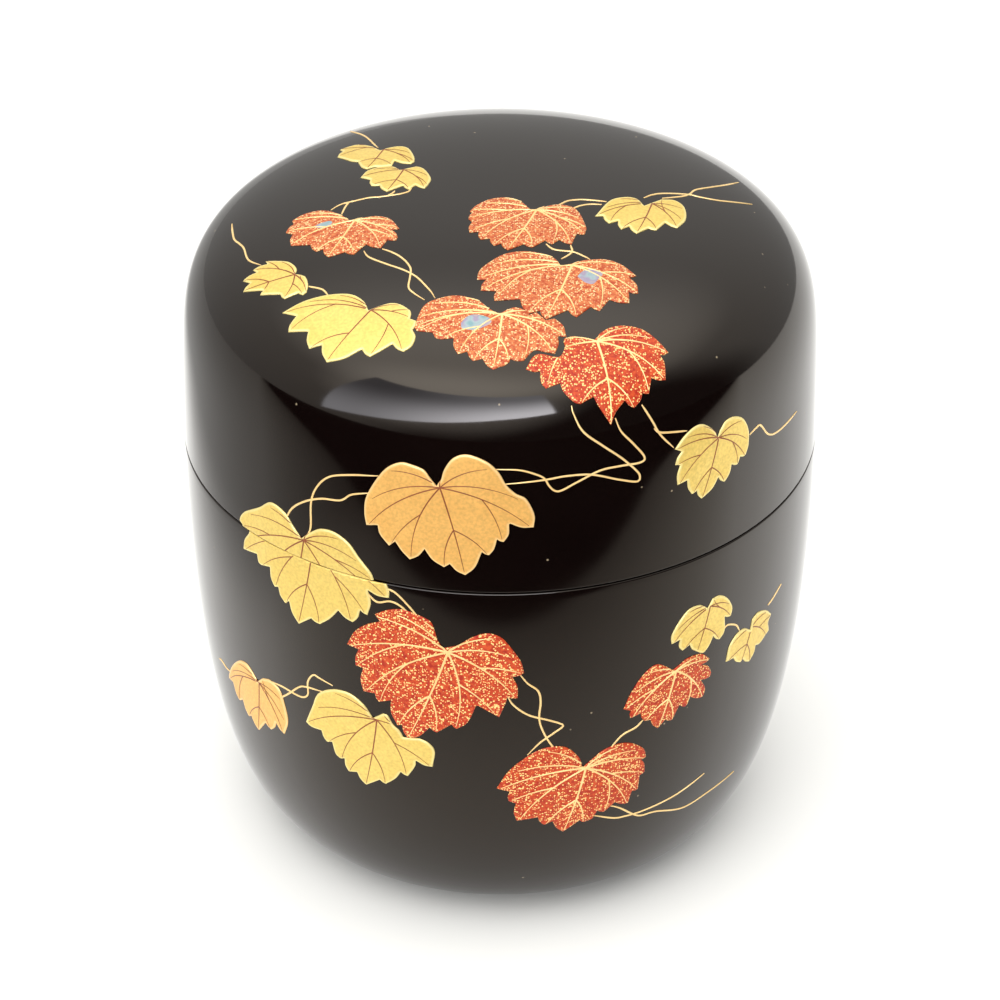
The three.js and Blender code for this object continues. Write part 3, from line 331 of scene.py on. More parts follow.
def rounded(corners):
    """A polyline with its corners rounded: corners is a list of ((r, z), radius)."""
    points = []
    count = len(corners)
    for i, (corner, radius) in enumerate(corners):
        corner = np.array(corner, float)
        if radius == 0:
            points.append(corner)
            continue
        before = np.array(corners[i - 1][0], float) - corner
        after = np.array(corners[(i + 1) % count][0], float) - corner
        before /= np.linalg.norm(before)
        after /= np.linalg.norm(after)
        half = math.acos(np.clip(before @ after, -1, 1)) / 2
        reach = radius / math.tan(half)
        start, end = corner + before * reach, corner + after * reach
        centre = corner + (before + after) / np.linalg.norm(before + after) * radius / math.sin(half)
        for share in np.linspace(0, 1, 9):
            spoke = start * (1 - share) + end * share - centre
            points.append(centre + spoke / np.linalg.norm(spoke) * radius)
    return points


LID_OUTSIDE = lid_curve(RADIUS, TOP - SEAM, SEAM, LID_SHOULDER, LID_TAPER)
LID_INSIDE = lid_curve(LID_MOUTH, LID_INSIDE_TOP - BORE_TOP, BORE_TOP, LID_INNER_SHOULDER, 0)
BODY_OUTSIDE = body_curve(RADIUS, FOOT_RADIUS, SEAM, 0, BODY_BELLY, BODY_DRAW)
BODY_INSIDE = body_curve(RIM_INSIDE, 0, SEAM, FLOOR_TOP, BODY_BELLY, 3)


def fine_skin():
    """The outer surface from the middle of the crown to the foot, as its run, points and directions."""
    lid = lid_curve(RADIUS, TOP - SEAM, SEAM, LID_SHOULDER, LID_TAPER, SKIN_STEPS)
    shares = np.linspace(0, 1, SKIN_STEPS + 1) ** 0.7
    body = body_curve(RADIUS, FOOT_RADIUS, SEAM, 0, BODY_BELLY, BODY_DRAW, shares)
    points = np.vstack([lid, body[1:]])
    run = np.concatenate([[0], np.cumsum(np.linalg.norm(np.diff(points, axis=0), axis=1))])
    along = np.gradient(points, run, axis=0)
    along /= np.linalg.norm(along, axis=1, keepdims=True)
    return run - run[SKIN_STEPS], points, along


SKIN_RUN, SKIN_POINTS, SKIN_ALONG = fine_skin()


def skin_at(run):
    """Radius, height and the two parts of the direction, at runs of mm down from the seam."""
    run = np.clip(run, SKIN_RUN[0], SKIN_RUN[-1])
    return [np.interp(run, SKIN_RUN, column) for column in (*SKIN_POINTS.T, *SKIN_ALONG.T)]


def walk(azimuth, run, bearing, distance, steps=32):
    """Walks straight over the skin from a place, as a taut thread lies. Bearing 0 is down the side."""
    distance = np.asarray(distance, float)
    heading = np.array(bearing, float) + np.zeros_like(distance)
    azimuth = np.full_like(distance, azimuth)
    run = np.full_like(distance, run)
    step = distance / steps
    for _ in range(steps):
        radius, _, spread, _ = skin_at(run)
        radius_half, _, spread_half, _ = skin_at(run + step / 2 * np.cos(heading))
        middle = heading - step / 2 * np.sin(heading) * spread / radius
        run = run + step * np.cos(middle)
        azimuth = azimuth + step * np.sin(middle) / radius_half
        heading = heading - step * np.sin(middle) * spread_half / radius_half
    return azimuth, run


def on_skin(azimuth, run, height):
    """Points in mm at a height over the skin, and the skin's normals there."""
    radius, z, along_r, along_z = skin_at(run)
    sin, cos = np.sin(azimuth), np.cos(azimuth)
    normals = np.column_stack([-along_z * sin, along_z * cos, along_r])
    points = np.column_stack([radius * sin, -radius * cos, z]) + normals * np.reshape(height, (-1, 1))
    return points, normals


# ---- Meshes ----
CREASE = 35        # degrees between faces, from which their edge is sharp


def make_piece(name, points, faces, materials, body, slot, replaced=(), face_materials=None, marks=None):
    """A closed mesh from points in mm, riding on a body of the caddy."""
    mesh = bpy.data.meshes.new(name)
    mesh.from_pydata([tuple(p) for p in np.asarray(points) * MM], [], faces)
    for material in materials:
        mesh.materials.append(material)
    if face_materials is not None:
        mesh.polygons.foreach_set("material_index", face_materials)
    for mark, values in (marks or {}).items():
        layer = mesh.attributes.new(mark, "FLOAT", "POINT")
        layer.data.foreach_set("value", np.asarray(values, np.float32))
    sculpt = bmesh.new()
    sculpt.from_mesh(mesh)
    bmesh.ops.recalc_face_normals(sculpt, faces=sculpt.faces)
    sculpt.to_mesh(mesh)
    sculpt.free()
    mesh.shade_smooth()
    mesh.set_sharp_from_angle(angle=math.radians(CREASE))
    piece = bpy.data.objects.new(name, mesh)
    bpy.context.collection.objects.link(piece)
    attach(piece, body)
    if replaced:
        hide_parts(*replaced)
    return piece


def turn_profile(profile):
    """Points and faces of a closed profile turned round the axis. Points on the axis stay single."""
    points, rings = [], []
    angles = np.arange(SEGMENTS) * 2 * math.pi / SEGMENTS
    for radius, height in profile:
        start = len(points)
        if radius < 1e-9:
            points.append((0, 0, height))
            rings.append([start] * SEGMENTS)
        else:
            points.extend(zip(radius * np.sin(angles), -radius * np.cos(angles), np.full(SEGMENTS, height)))
            rings.append(list(range(start, start + SEGMENTS)))
    faces = []
    for upper, lower in zip(rings, rings[1:] + rings[:1]):
        for i in range(SEGMENTS):
            j = (i + 1) % SEGMENTS
            corners = list(dict.fromkeys([upper[i], upper[j], lower[j], lower[i]]))
            if len(corners) > 2:
                faces.append(corners)
    return points, faces


def flat_point(angle, distance):
    return np.array([math.cos(math.radians(angle)), math.sin(math.radians(angle))]) * distance


def smooth_line(points, spacing):
    """A Catmull-Rom curve through points, in even steps of about the given spacing."""
    points = np.asarray(points, float)
    ends = np.vstack([2 * points[0] - points[1], points, 2 * points[-1] - points[-2]])
    curve = []
    for a, b, c, d in zip(ends, ends[1:], ends[2:], ends[3:]):
        t = np.linspace(0, 1, 24, endpoint=False)[:, None]
        square = (2 * a - 5 * b + 4 * c - d) * t**2
        cube = (3 * b - a - 3 * c + d) * t**3
        curve.append(0.5 * (2 * b + (c - a) * t + square + cube))
    curve = np.vstack([*curve, points[-1:]])
    run = np.concatenate([[0], np.cumsum(np.linalg.norm(np.diff(curve, axis=0), axis=1))])
    count = max(2, round(run[-1] / spacing) + 1)
    return np.column_stack([np.interp(np.linspace(0, run[-1], count), run, column) for column in curve.T])


BULGE = 0.1                # of a two-point run's length
EDGE_SPACING = 0.16        # mm between the points of an edge
CLOSEST = 0.03             # mm; points nearer than this are one
TIP_TURN = 28              # degrees that the edge turns by at a tooth's tip
TIPS_APART = 0.3           # mm


def leaf_outline(edge):
    """The leaf's edge as close points on the flat, with the midrib along +X, and its toothed tips."""
    outline = []
    corners = []
    for run in edge:
        points = [flat_point(*p) for p in run]
        corners += [points[0], points[-1]]
        if len(points) == 2:
            across = points[1] - points[0]
            points.insert(1, (points[0] + points[1]) / 2 + np.array([across[1], -across[0]]) * BULGE)
        outline.append(smooth_line(points, EDGE_SPACING))
    joined = []
    for part, after in zip(outline, outline[1:] + outline[:1]):
        step = np.linalg.norm(after[0] - part[-1])
        count = max(1, round(step / EDGE_SPACING))
        joined.append(part)
        joined.append(part[-1] + (after[0] - part[-1]) * np.arange(1, count)[:, None] / count)
    outline = np.vstack(joined)
    keep = np.linalg.norm(outline - np.roll(outline, 1, axis=0), axis=1) > CLOSEST
    tips = []
    count = len(corners)
    for i, corner in enumerate(corners):
        before, after = corner - corners[i - 1], corners[(i + 1) % count] - corner
        if np.linalg.norm(after) < 1e-6:
            after = corners[(i + 2) % count] - corner
        if np.linalg.norm(before) < 1e-6:
            before = corner - corners[i - 2]
        turn = math.degrees(math.atan2(before[0] * after[1] - before[1] * after[0], before @ after))
        if turn > TIP_TURN and not any(np.linalg.norm(corner - tip) < TIPS_APART for tip in tips):
            tips.append(corner)
    return outline[keep], tips


def distance_to(points, line, closed):
    """Distance in mm from each point to a line of points."""
    starts = line if closed else line[:-1]
    ends = np.roll(line, -1, axis=0) if closed else line[1:]
    spans = ends - starts
    length = np.maximum((spans**2).sum(1), 1e-12)
    nearest = np.full(len(points), 1e9)
    for first in range(0, len(points), 400):
        part = points[first:first + 400]
        share = np.clip(((part[:, None] - starts) * spans).sum(2) / length, 0, 1)
        gap = part[:, None] - (starts + spans * share[..., None])
        nearest[first:first + 400] = np.sqrt((gap**2).sum(2).min(1))
    return nearest


def inside(points, outline):
    """Which points lie inside a closed outline."""
    x, y = points.T
    found = np.zeros(len(points), bool)
    for (x1, y1), (x2, y2) in zip(outline, np.roll(outline, -1, axis=0)):
        crosses = (y1 > y) != (y2 > y)
        if crosses.any():
            found ^= crosses & (x < (x2 - x1) * (y - y1) / (y2 - y1 + 1e-15) + x1)
    return found


def within(line, outline):
    """The longest stretch of a line that lies inside a closed outline."""
    stretches, stretch = [], []
    for point, found in zip(line, inside(line, outline)):
        if found:
            stretch.append(point)
        else:
            stretches.append(stretch)
            stretch = []
    return np.array(max([*stretches, stretch], key=len))


EDGE_ROUND = 0.2                    # how far in a leaf's edge rounds over
INSETS = (0.04, 0.1, 0.2)           # rings of points where it does
GRID = 0.42                         # mm between the points in the middle
ROW_STEP = 0.87                     # of that, between their rows


def fill_outline(outline):
    """Triangles over a leaf on the flat: its edge, rings just inside it, and a grid in the middle."""
    along = np.roll(outline, -1, axis=0) - np.roll(outline, 1, axis=0)
    along /= np.linalg.norm(along, axis=1, keepdims=True)
    inward = np.column_stack([-along[:, 1], along[:, 0]])
    if not inside(outline[:1] + inward[:1] * 0.02, outline)[0]:
        inward = -inward
    kept = []
    for inset in INSETS:
        every = 2 if inset > 0.1 else 1
        points = outline[::every] + inward[::every] * inset
        gap = distance_to(points, outline, True)
        kept.append(points[(gap > inset * 0.85) & inside(points, outline)])
    low, high = outline.min(0), outline.max(0)
    rows = np.arange(low[1], high[1], GRID * ROW_STEP)
    columns = np.arange(low[0], high[0], GRID)
    grid = np.array([(x + (GRID / 2 if i % 2 else 0), y) for i, y in enumerate(rows) for x in columns])
    grid = grid[inside(grid, outline)]
    kept.append(grid[distance_to(grid, outline, True) > INSETS[-1] + 0.1])
    points = np.vstack([outline, *kept])
    edges = [(i, (i + 1) % len(outline)) for i in range(len(outline))]
    flat = [Vector((float(x), float(y))) for x, y in points]
    found, _, faces, *_ = delaunay_2d_cdt(flat, edges, [], 1, 1e-5)
    found = np.array([tuple(p) for p in found])
    return found, [list(face) for face in faces]


def closed_plate(top, bottom, faces):
    """Joins two layers with the same triangles into one closed plate."""
    count = len(top)
    sides = {}
    for face in faces:
        for a, b in zip(face, face[1:] + face[:1]):
            if (b, a) in sides:
                del sides[(b, a)]
            else:
                sides[(a, b)] = True
    below = [[i + count for i in reversed(face)] for face in faces]
    walls = [[a, a + count, b + count, b] for a, b in sides]
    return np.vstack([top, bottom]), faces + below + walls


RIDGE = ((-0.5, -0.25), (-0.34, 0.7), (0, 1), (0.34, 0.7), (0.5, -0.25))   # a raised line's section


def raised_lines(lines):
    """Closed raised lines. Each is (points, normals, width at each point, height)."""
    points, faces = [], []
    for centre, normals, widths, height in lines:
        along = np.gradient(centre, axis=0)
        side = np.cross(along, normals)
        side /= np.linalg.norm(side, axis=1, keepdims=True)
        start = sum(len(p) for p in points)
        rows = [centre + side * (widths * x)[:, None] + normals * (height * y) for x, y in RIDGE]
        points.append(np.stack(rows, 1).reshape(-1, 3))
        across = len(RIDGE)
        for i in range(len(centre) - 1):
            for j in range(across):
                a, b = start + i * across + j, start + i * across + (j + 1) % across
                faces.append([a, b, b + across, a + across])
        last = start + (len(centre) - 1) * across
        faces.append([start + j for j in reversed(range(across))])
        faces.append([last + j for j in range(across)])
    return np.vstack(points), faces


# ---- Veins ----
def bowed(start, end, bow, count=15):
    """A curve from start to end that leans to its left by a share of its length."""
    across = end - start
    control = (start + end) / 2 + np.array([-across[1], across[0]]) * bow
    t = np.linspace(0, 1, count)[:, None]
    return (1 - t) ** 2 * start + 2 * t * (1 - t) * control + t**2 * end


def along(line, share):
    """The point a share of the way along a line of points."""
    run = np.concatenate([[0], np.cumsum(np.linalg.norm(np.diff(line, axis=0), axis=1))])
    return np.array([np.interp(share * run[-1], run, column) for column in line.T])


# A kind of vein: how far it goes towards its tip, how far it bows, and its share of the full width.
MIDRIB = (0.96, 0.03, 1.0)
FORK = (0.94, 0.15, 0.8)
RIB = (0.95, 0.17, 0.9)
BRANCH = (0.92, 0.12, 0.7)
LOBE_RIB = (0.9, 0.2, 0.75)
VEIN_START = 0.05          # of the way from the notch at the stalk to the tip
FORK_BEARING = 48          # degrees from the midrib, within which a tooth takes a fork of it
FORK_POINT, BRANCH_POINT = 7, 6         # of a vein's 15 points


def vein(start, tip, kind, side):
    """A vein of a kind as (line, share of the full width)."""
    reach, bow, share = kind
    return bowed(start, start + (tip - start) * reach, bow * side), share


def leaf_veins(edge, tips):
    """The veins of a leaf: a midrib that forks, ribs that fork to the teeth on either side, and ribs that
    arch into the two round lobes."""
    sinus = (flat_point(*edge[0][0]) + flat_point(*edge[-1][-1])) / 2
    bearings = [math.degrees(math.atan2(y, x)) for x, y in tips]
    middle = min(range(len(tips)), key=lambda i: abs(bearings[i]))
    start = sinus + (tips[middle] - sinus) * VEIN_START
    midrib = vein(start, tips[middle], MIDRIB, 1)
    veins = [midrib]
    for sign, lobe in ((1, edge[-1][::-1]), (-1, edge[0])):
        side = sorted((i for i in range(len(tips)) if i != middle and bearings[i] * sign > 0),
                      key=lambda i: abs(bearings[i]))
        if side and abs(bearings[side[0]]) < FORK_BEARING:
            veins.append(vein(midrib[0][FORK_POINT], tips[side[0]], FORK, sign))
            side = side[1:]
        while side:
            pair, side = side[:2], side[2:]
            far = max(pair, key=lambda i: np.linalg.norm(tips[i] - sinus))
            rib = vein(start, tips[far], RIB, sign)
            veins.append(rib)
            veins += [vein(rib[0][BRANCH_POINT], tips[near], BRANCH, sign) for near in pair if near != far]
        border = np.array([flat_point(*point) for point in lobe])
        length = np.linalg.norm(np.diff(border, axis=0), axis=1).sum()
        shares = (0.45, 0.78) if length > 6 else (0.66,) if length > 3.5 else ()
        veins += [vein(start, along(border, share), LOBE_RIB, sign) for share in shares]
    return veins


# ---- Materials ----
def linear(code):
    """The linear colour of an sRGB hex value."""
    parts = [int(code[i:i + 2], 16) / 255 for i in (1, 3, 5)]
    return tuple(c / 12.92 if c <= 0.04045 else ((c + 0.055) / 1.055) ** 2.4 for c in parts) + (1,)


def add(tree, kind, inputs=None, **settings):
    """Adds a node with its settings. An input is a value, an output or a node: its first output in use."""
    node = tree.nodes.new("ShaderNode" + kind)
    for key, value in settings.items():
        setattr(node, key, value)
    for key, value in (inputs or {}).items():
        if isinstance(value, bpy.types.Node):
            value = next(output for output in value.outputs if output.enabled)
        if isinstance(value, bpy.types.NodeSocket):
            tree.links.new(value, node.inputs[key])
        else:
            node.inputs[key].default_value = value
    return node


def colours():
    return bpy.context.scene.tea_caddy_colours


def set_stops(ramp, stops):
    """Gives a colour ramp its stops, as (place, sRGB hex value)."""
    while len(ramp.elements) < len(stops):
        ramp.elements.new(0.5)
    for element, (place, code) in zip(ramp.elements, stops):
        element.position = place
        element.color = linear(code)


def polished_black_lacquer(tree):
    # Lacquer rubbed to a mirror over many ground coats: near black with a little brown in it, and a faint
    # unevenness some millimetres across that bends what it reflects. A few motes of gold powder lie in it.
    where = add(tree, "TexCoord").outputs["Object"]
    motes = add(tree, "TexVoronoi", {"Vector": where, "Scale": 1 / (2.4 * MM)})
    near = add(tree, "MapRange", {"Value": motes, "From Min": 0.06, "From Max": 0.02}, clamp=True)
    pick = add(tree, "SeparateColor", {"Color": motes.outputs["Color"]})
    few = add(tree, "Math", {0: pick, 1: 0.72}, operation="GREATER_THAN")
    mote = add(tree, "Math", {0: near, 1: few}, operation="MULTIPLY")
    depth = add(tree, "TexNoise", {"Vector": where, "Scale": 1 / (14 * MM), "Detail": 2})
    ground = add(tree, "Mix", {"Factor": depth, "A": colours().black_lacquer,
                               "B": colours().black_lacquer_deep}, data_type="RGBA")
    colour = add(tree, "Mix", {"Factor": mote, "A": ground, "B": colours().mote}, data_type="RGBA")
    rubbing = add(tree, "TexNoise", {"Vector": where, "Scale": 1 / (1.1 * MM), "Detail": 2})
    roughness = add(tree, "MapRange", {"Value": rubbing, "To Min": 0.05, "To Max": 0.1})
    swell = add(tree, "TexNoise", {"Vector": where, "Scale": 1 / (7 * MM), "Detail": 1})
    uneven = add(tree, "Bump", {"Height": swell, "Strength": 0.35, "Distance": 0.02 * MM})
    return add(tree, "BsdfPrincipled", {"Base Color": colour, "Roughness": roughness, "IOR": 1.5,
                                        "Specular Tint": linear("#fff3e4"), "Normal": uneven})


def gold_powder(tree, key):
    # Gold powder sprinkled on raised lacquer and burnished: satin, with a fine grain. A paler colour is
    # painted along the rounded edge as a painted highlight, where that edge would catch the light.
    middle, deep, edge = [getattr(colours(), key + part) for part in ("", "_deep", "_edge")]
    where = add(tree, "TexCoord").outputs["Object"]
    # Painted highlight: within about 0.3 mm of the leaf's edge the paler edge colour is mixed in, in place
    # of light caught by the rounded edge.
    border = add(tree, "Attribute", attribute_name="edge").outputs["Fac"]
    rim = add(tree, "MapRange", {"Value": border, "From Min": 0.12, "From Max": 0.3}, clamp=True)
    shade = add(tree, "TexNoise", {"Vector": where, "Scale": 1 / (3.5 * MM), "Detail": 2})
    powder = add(tree, "TexNoise", {"Vector": where, "Scale": 1 / (0.3 * MM), "Detail": 1})
    body = add(tree, "Mix", {"Factor": shade, "A": middle, "B": deep}, data_type="RGBA")
    grain = add(tree, "MapRange", {"Value": powder, "From Min": 0.3, "From Max": 0.7, "To Min": 0.88,
                                   "To Max": 1.08})
    toned = add(tree, "VectorMath", {0: body, 1: grain}, operation="MULTIPLY")
    colour = add(tree, "Mix", {"Factor": rim, "A": edge, "B": toned}, data_type="RGBA")
    relief = add(tree, "Bump", {"Height": powder, "Strength": 0.4, "Distance": 0.03 * MM})
    return add(tree, "BsdfPrincipled", {"Base Color": colour, "Metallic": 0.35, "Roughness": 0.42,
                                        "Normal": relief})


def flaked_vermilion(tree, key, sparse):
    # Vermilion lacquer with gold powder sprinkled in its last coat. The grains are 0.1 to 0.25 mm across.
    # They lie in drifts, and thickest along the leaf's edge.
    dark, bright, flake = [getattr(colours(), key + part) for part in ("", "_bright", "_flake")]
    where = add(tree, "TexCoord").outputs["Object"]
    flakes = add(tree, "TexVoronoi", {"Vector": where, "Scale": 1 / (0.2 * MM)})
    pick = add(tree, "SeparateColor", {"Color": flakes.outputs["Color"]})
    drifts = add(tree, "TexNoise", {"Vector": where, "Scale": 1 / (2.2 * MM), "Detail": 2})
    drift = add(tree, "MapRange", {"Value": drifts, "From Min": 0.35, "From Max": 0.68,
                                   "To Min": sparse + 0.16, "To Max": sparse - 0.2})
    border = add(tree, "Attribute", attribute_name="edge").outputs["Fac"]
    crowd = add(tree, "MapRange", {"Value": border, "From Min": 0.15, "From Max": 0.9, "To Min": -0.22,
                                   "To Max": 0}, clamp=True)
    limit = add(tree, "Math", {0: drift, 1: crowd}, operation="ADD")
    chosen = add(tree, "Math", {0: pick, 1: limit}, operation="GREATER_THAN")
    size = add(tree, "MapRange", {"Value": pick.outputs[1], "To Min": 0.3, "To Max": 0.62})
    near = add(tree, "Math", {0: size, 1: flakes}, operation="SUBTRACT")
    soft = add(tree, "MapRange", {"Value": near, "From Max": 0.18}, clamp=True)
    shown = add(tree, "Math", {0: chosen, 1: soft}, operation="MULTIPLY")
    grounds = add(tree, "TexNoise", {"Vector": where, "Scale": 1 / (0.35 * MM), "Detail": 3})
    mottle = add(tree, "MapRange", {"Value": grounds, "From Min": 0.36, "From Max": 0.64}, clamp=True)
    base = add(tree, "Mix", {"Factor": mottle, "A": dark, "B": bright}, data_type="RGBA")
    colour = add(tree, "Mix", {"Factor": shown, "A": base, "B": flake}, data_type="RGBA")
    relief = add(tree, "Bump", {"Height": shown, "Strength": 0.5, "Distance": 0.03 * MM})
    return add(tree, "BsdfPrincipled", {"Base Color": colour, "Roughness": 0.45,
                                        "Specular IOR Level": 0.3, "Normal": relief})


def gold_line(tree):
    # A line drawn in lacquer and dusted with fine pale gold, then burnished.
    where = add(tree, "TexCoord").outputs["Object"]
    tone = add(tree, "TexNoise", {"Vector": where, "Scale": 1 / (1.6 * MM), "Detail": 2})
    colour = add(tree, "Mix", {"Factor": tone, "A": colours().gold_line, "B": colours().gold_line_bright},
                 data_type="RGBA")
    powder = add(tree, "TexNoise", {"Vector": where, "Scale": 1 / (0.2 * MM), "Detail": 1})
    relief = add(tree, "Bump", {"Height": powder, "Strength": 0.3, "Distance": 0.02 * MM})
    return add(tree, "BsdfPrincipled", {"Base Color": colour, "Metallic": 0.3, "Roughness": 0.38,
                                        "Normal": relief})


def brown_line(tree):
    # A vein drawn in red-brown lacquer over the gold.
    where = add(tree, "TexCoord").outputs["Object"]
    tone = add(tree, "TexNoise", {"Vector": where, "Scale": 1 / (0.8 * MM), "Detail": 2})
    colour = add(tree, "Mix", {"Factor": tone, "A": colours().brown_vein, "B": colours().brown_vein_bright},
                 data_type="RGBA")
    return add(tree, "BsdfPrincipled", {"Base Color": colour, "Roughness": 0.4, "IOR": 1.5})


def mother_of_pearl(tree):
    # Polished abalone cut thin: silvery, with patches of blue-green and lilac about a millimetre across.
    where = add(tree, "TexCoord").outputs["Object"]
    sheen = add(tree, "TexNoise", {"Vector": where, "Scale": 1 / (1.3 * MM), "Detail": 1})
    colour = add(tree, "ValToRGB", {"Fac": sheen})
    set_stops(colour.color_ramp, ((0.32, "#6f949b"), (0.45, "#93a4a8"), (0.55, "#8f819b"),
                                  (0.68, "#a89c96")))
    growth = add(tree, "TexNoise", {"Vector": where, "Scale": 1 / (0.35 * MM), "Detail": 2})
    layers = add(tree, "Bump", {"Height": growth, "Strength": 0.3, "Distance": 0.03 * MM})
    return add(tree, "BsdfPrincipled", {"Base Color": colour, "Roughness": 0.3, "IOR": 1.6,
                                        "Normal": layers})


def turned_wood(tree):
    # Close-grained wood turned thin, with growth rings about 1.6 mm apart across the blank.
    where = add(tree, "TexCoord").outputs["Object"]
    rings = add(tree, "TexWave", {"Vector": where, "Scale": 1 / (1.6 * MM) / 6.28, "Distortion": 2.5,
                                  "Detail": 3})
    colour = add(tree, "Mix", {"Factor": rings.outputs["Fac"], "A": colours().wood,
                               "B": colours().wood_ring}, data_type="RGBA")
    return add(tree, "BsdfPrincipled", {"Base Color": colour, "Roughness": 0.6})


def pale_paint(tree):
    # A matt white painted board.
    where = add(tree, "TexCoord").outputs["Object"]
    tone = add(tree, "TexNoise", {"Vector": where, "Scale": 1 / (30 * MM), "Detail": 2})
    colour = add(tree, "Mix", {"Factor": tone, "A": linear("#f2f2f0"), "B": linear("#f5f5f3")},
                 data_type="RGBA")
    return add(tree, "BsdfPrincipled", {"Base Color": colour, "Roughness": 0.8})


def board_in_shade(tree):
    # The board as the lacquer mirrors it: bright close by, and half as bright past about 60 mm on the left.
    # In front it falls into shade towards its straight edge, 95 mm out, and past that the room is dark.
    where = add(tree, "TexCoord").outputs["Object"]
    place = add(tree, "SeparateXYZ", {0: where})
    ahead = add(tree, "MapRange", {"Value": place.outputs[1], "From Min": -0.098, "From Max": -0.018})
    shade = add(tree, "ValToRGB", {"Fac": ahead})
    set_stops(shade.color_ramp, ((0.0, "#0a0908"), (0.06, "#2a2826"), (0.12, "#8a8885"), (0.3, "#adaba8"),
                                 (0.7, "#dcdbd8"), (1.0, "#ffffff")))
    aside = add(tree, "MapRange", {"Value": place.outputs[0], "From Min": -0.1, "From Max": -0.062,
                                   "To Min": 0.5, "To Max": 1}, interpolation_type="SMOOTHSTEP")
    colour = add(tree, "VectorMath", {0: shade, 1: aside}, operation="MULTIPLY")
    return add(tree, "BsdfPrincipled", {"Base Color": colour, "Roughness": 1, "Specular IOR Level": 0})


def softbox_cloth(tree):
    # Diffusing cloth over a lamp that stands to the right and low behind it: brightest there, and fading
    # to the left and up.
    across = add(tree, "Attribute", attribute_name="across").outputs["Fac"]
    up = add(tree, "Attribute", attribute_name="up").outputs["Fac"]
    right = add(tree, "MapRange", {"Value": across, "From Min": 0.1, "From Max": 0.85, "To Min": 4.5,
                                   "To Max": 15}, interpolation_type="SMOOTHSTEP")
    low = add(tree, "MapRange", {"Value": up, "From Min": 0, "From Max": 0.9, "To Min": 1, "To Max": 0.2},
              interpolation_type="SMOOTHSTEP")
    glow = add(tree, "Math", {0: right, 1: low}, operation="MULTIPLY")
    return add(tree, "Emission", {"Color": linear("#e4ecff"), "Strength": glow})


# Each finish, as its material's name, the function that makes its shader, and what that takes.
FINISHES = {
    "black": ("polished_black_lacquer", polished_black_lacquer),
    "gold": ("pale_gold_powder", gold_powder, "gold"),
    "orange": ("red_gold_powder", gold_powder, "red_gold"),
    "vermilion": ("vermilion_with_gold_flakes", flaked_vermilion, "vermilion", 0.46),
    "coral": ("coral_with_gold_flakes", flaked_vermilion, "coral", 0.42),
    "line": ("burnished_gold_line", gold_line),
    "vein": ("red_brown_line", brown_line),
    "shell": ("polished_mother_of_pearl", mother_of_pearl),
    "wood": ("turned_zelkova", turned_wood),
    "board": ("matt_white_board", pale_paint),
    "shade": ("board_in_shade", board_in_shade),
    "softbox": ("diffusing_cloth", softbox_cloth),
}
SLOTS = {
    "gold": "gold_leaf",
    "orange": "orange_gold_leaf",
    "vermilion": "vermilion_leaf",
    "coral": "coral_leaf",
}
made = {}


def finish_for(key):
    """The material for a finish, made once."""
    if key not in made:
        name, make_shader, *settings = FINISHES[key]
        made[key] = bpy.data.materials.new(name)
        made[key].use_nodes = True
        tree = made[key].node_tree
        tree.nodes.clear()
        add(tree, "OutputMaterial", {"Surface": make_shader(tree, *settings)})
    return made[key]


# ---- Leaves on the skin ----
def lay(place, turn, flat, height):
    """Flat points laid on the skin round a place, at a height over it in mm."""
    bearing = math.radians(turn) + np.arctan2(flat[:, 1], flat[:, 0])
    azimuth, run = walk(math.radians(place[0]), place[1], bearing, np.hypot(flat[:, 0], flat[:, 1]))
    return on_skin(azimuth, run, height)


UNDER_SKIN = 0.03          # mm that a leaf reaches into the lacquer
EDGE_SHARE = 0.2           # of a leaf's height, right at its edge
DENT, DENT_WIDTH = 0.025, 0.22          # mm, where a vein is pressed into gold
RED_VEIN, GOLD_VEIN = 0.06, 0.012       # mm that a vein stands over its leaf
GOLD_VEIN_SHARE = 0.6      # of a red leaf's vein width
VEIN_SPACING = 0.3         # mm
FEWEST_POINTS = 4          # of a vein; a shorter one is left out


def build_leaf(finish_key, place, turn, edge):
    """Points, faces, materials' indices, marks and materials of one raised leaf with its veins."""
    sizes = bpy.context.scene.tea_caddy_sizes
    leaf_height = sizes.leaf_height / MM
    outline, tips = leaf_outline(edge)
    red = finish_key in ("vermilion", "coral")
    veins = leaf_veins(edge, tips)
    flat, faces = fill_outline(outline)
    to_edge = distance_to(flat, outline, True)
    over = np.clip(to_edge / EDGE_ROUND, 0, 1)
    height = leaf_height * (EDGE_SHARE + (1 - EDGE_SHARE) * np.sqrt(1 - (1 - over) ** 2))
    if not red:
        to_vein = np.min([distance_to(flat, line, False) for line, _ in veins], axis=0)
        height -= DENT * np.exp(-((to_vein / DENT_WIDTH) ** 2)) * over
    top, _ = lay(place, turn, flat, height)
    bottom, _ = lay(place, turn, flat, -UNDER_SKIN)
    points, faces = closed_plate(top, bottom, faces)
    width = sizes.vein_width / MM * (1 if red else GOLD_VEIN_SHARE)
    lines = []
    for line, share in veins:
        line = within(smooth_line(line, VEIN_SPACING), outline)
        if len(line) < FEWEST_POINTS:
            continue
        rise = np.interp(distance_to(line, outline, True), [0, EDGE_ROUND], [leaf_height / 2, leaf_height])
        centre, normals = lay(place, turn, line, rise)
        taper = np.interp(np.linspace(0, 1, len(line)), [0, 0.5, 1], [1, 0.75, 0.35])
        lines.append((centre, normals, width * share * taper, RED_VEIN if red else GOLD_VEIN))
    vein_points, vein_faces = raised_lines(lines)
    start = len(points)
    kinds = [0] * len(faces) + [1] * len(vein_faces)
    faces = faces + [[i + start for i in face] for face in vein_faces]
    marks = {"edge": np.concatenate([to_edge, to_edge, np.ones(len(vein_points))])}
    points = np.vstack([points, vein_points])
    return points, faces, kinds, marks, [finish_for(finish_key), finish_for("line" if red else "vein")]


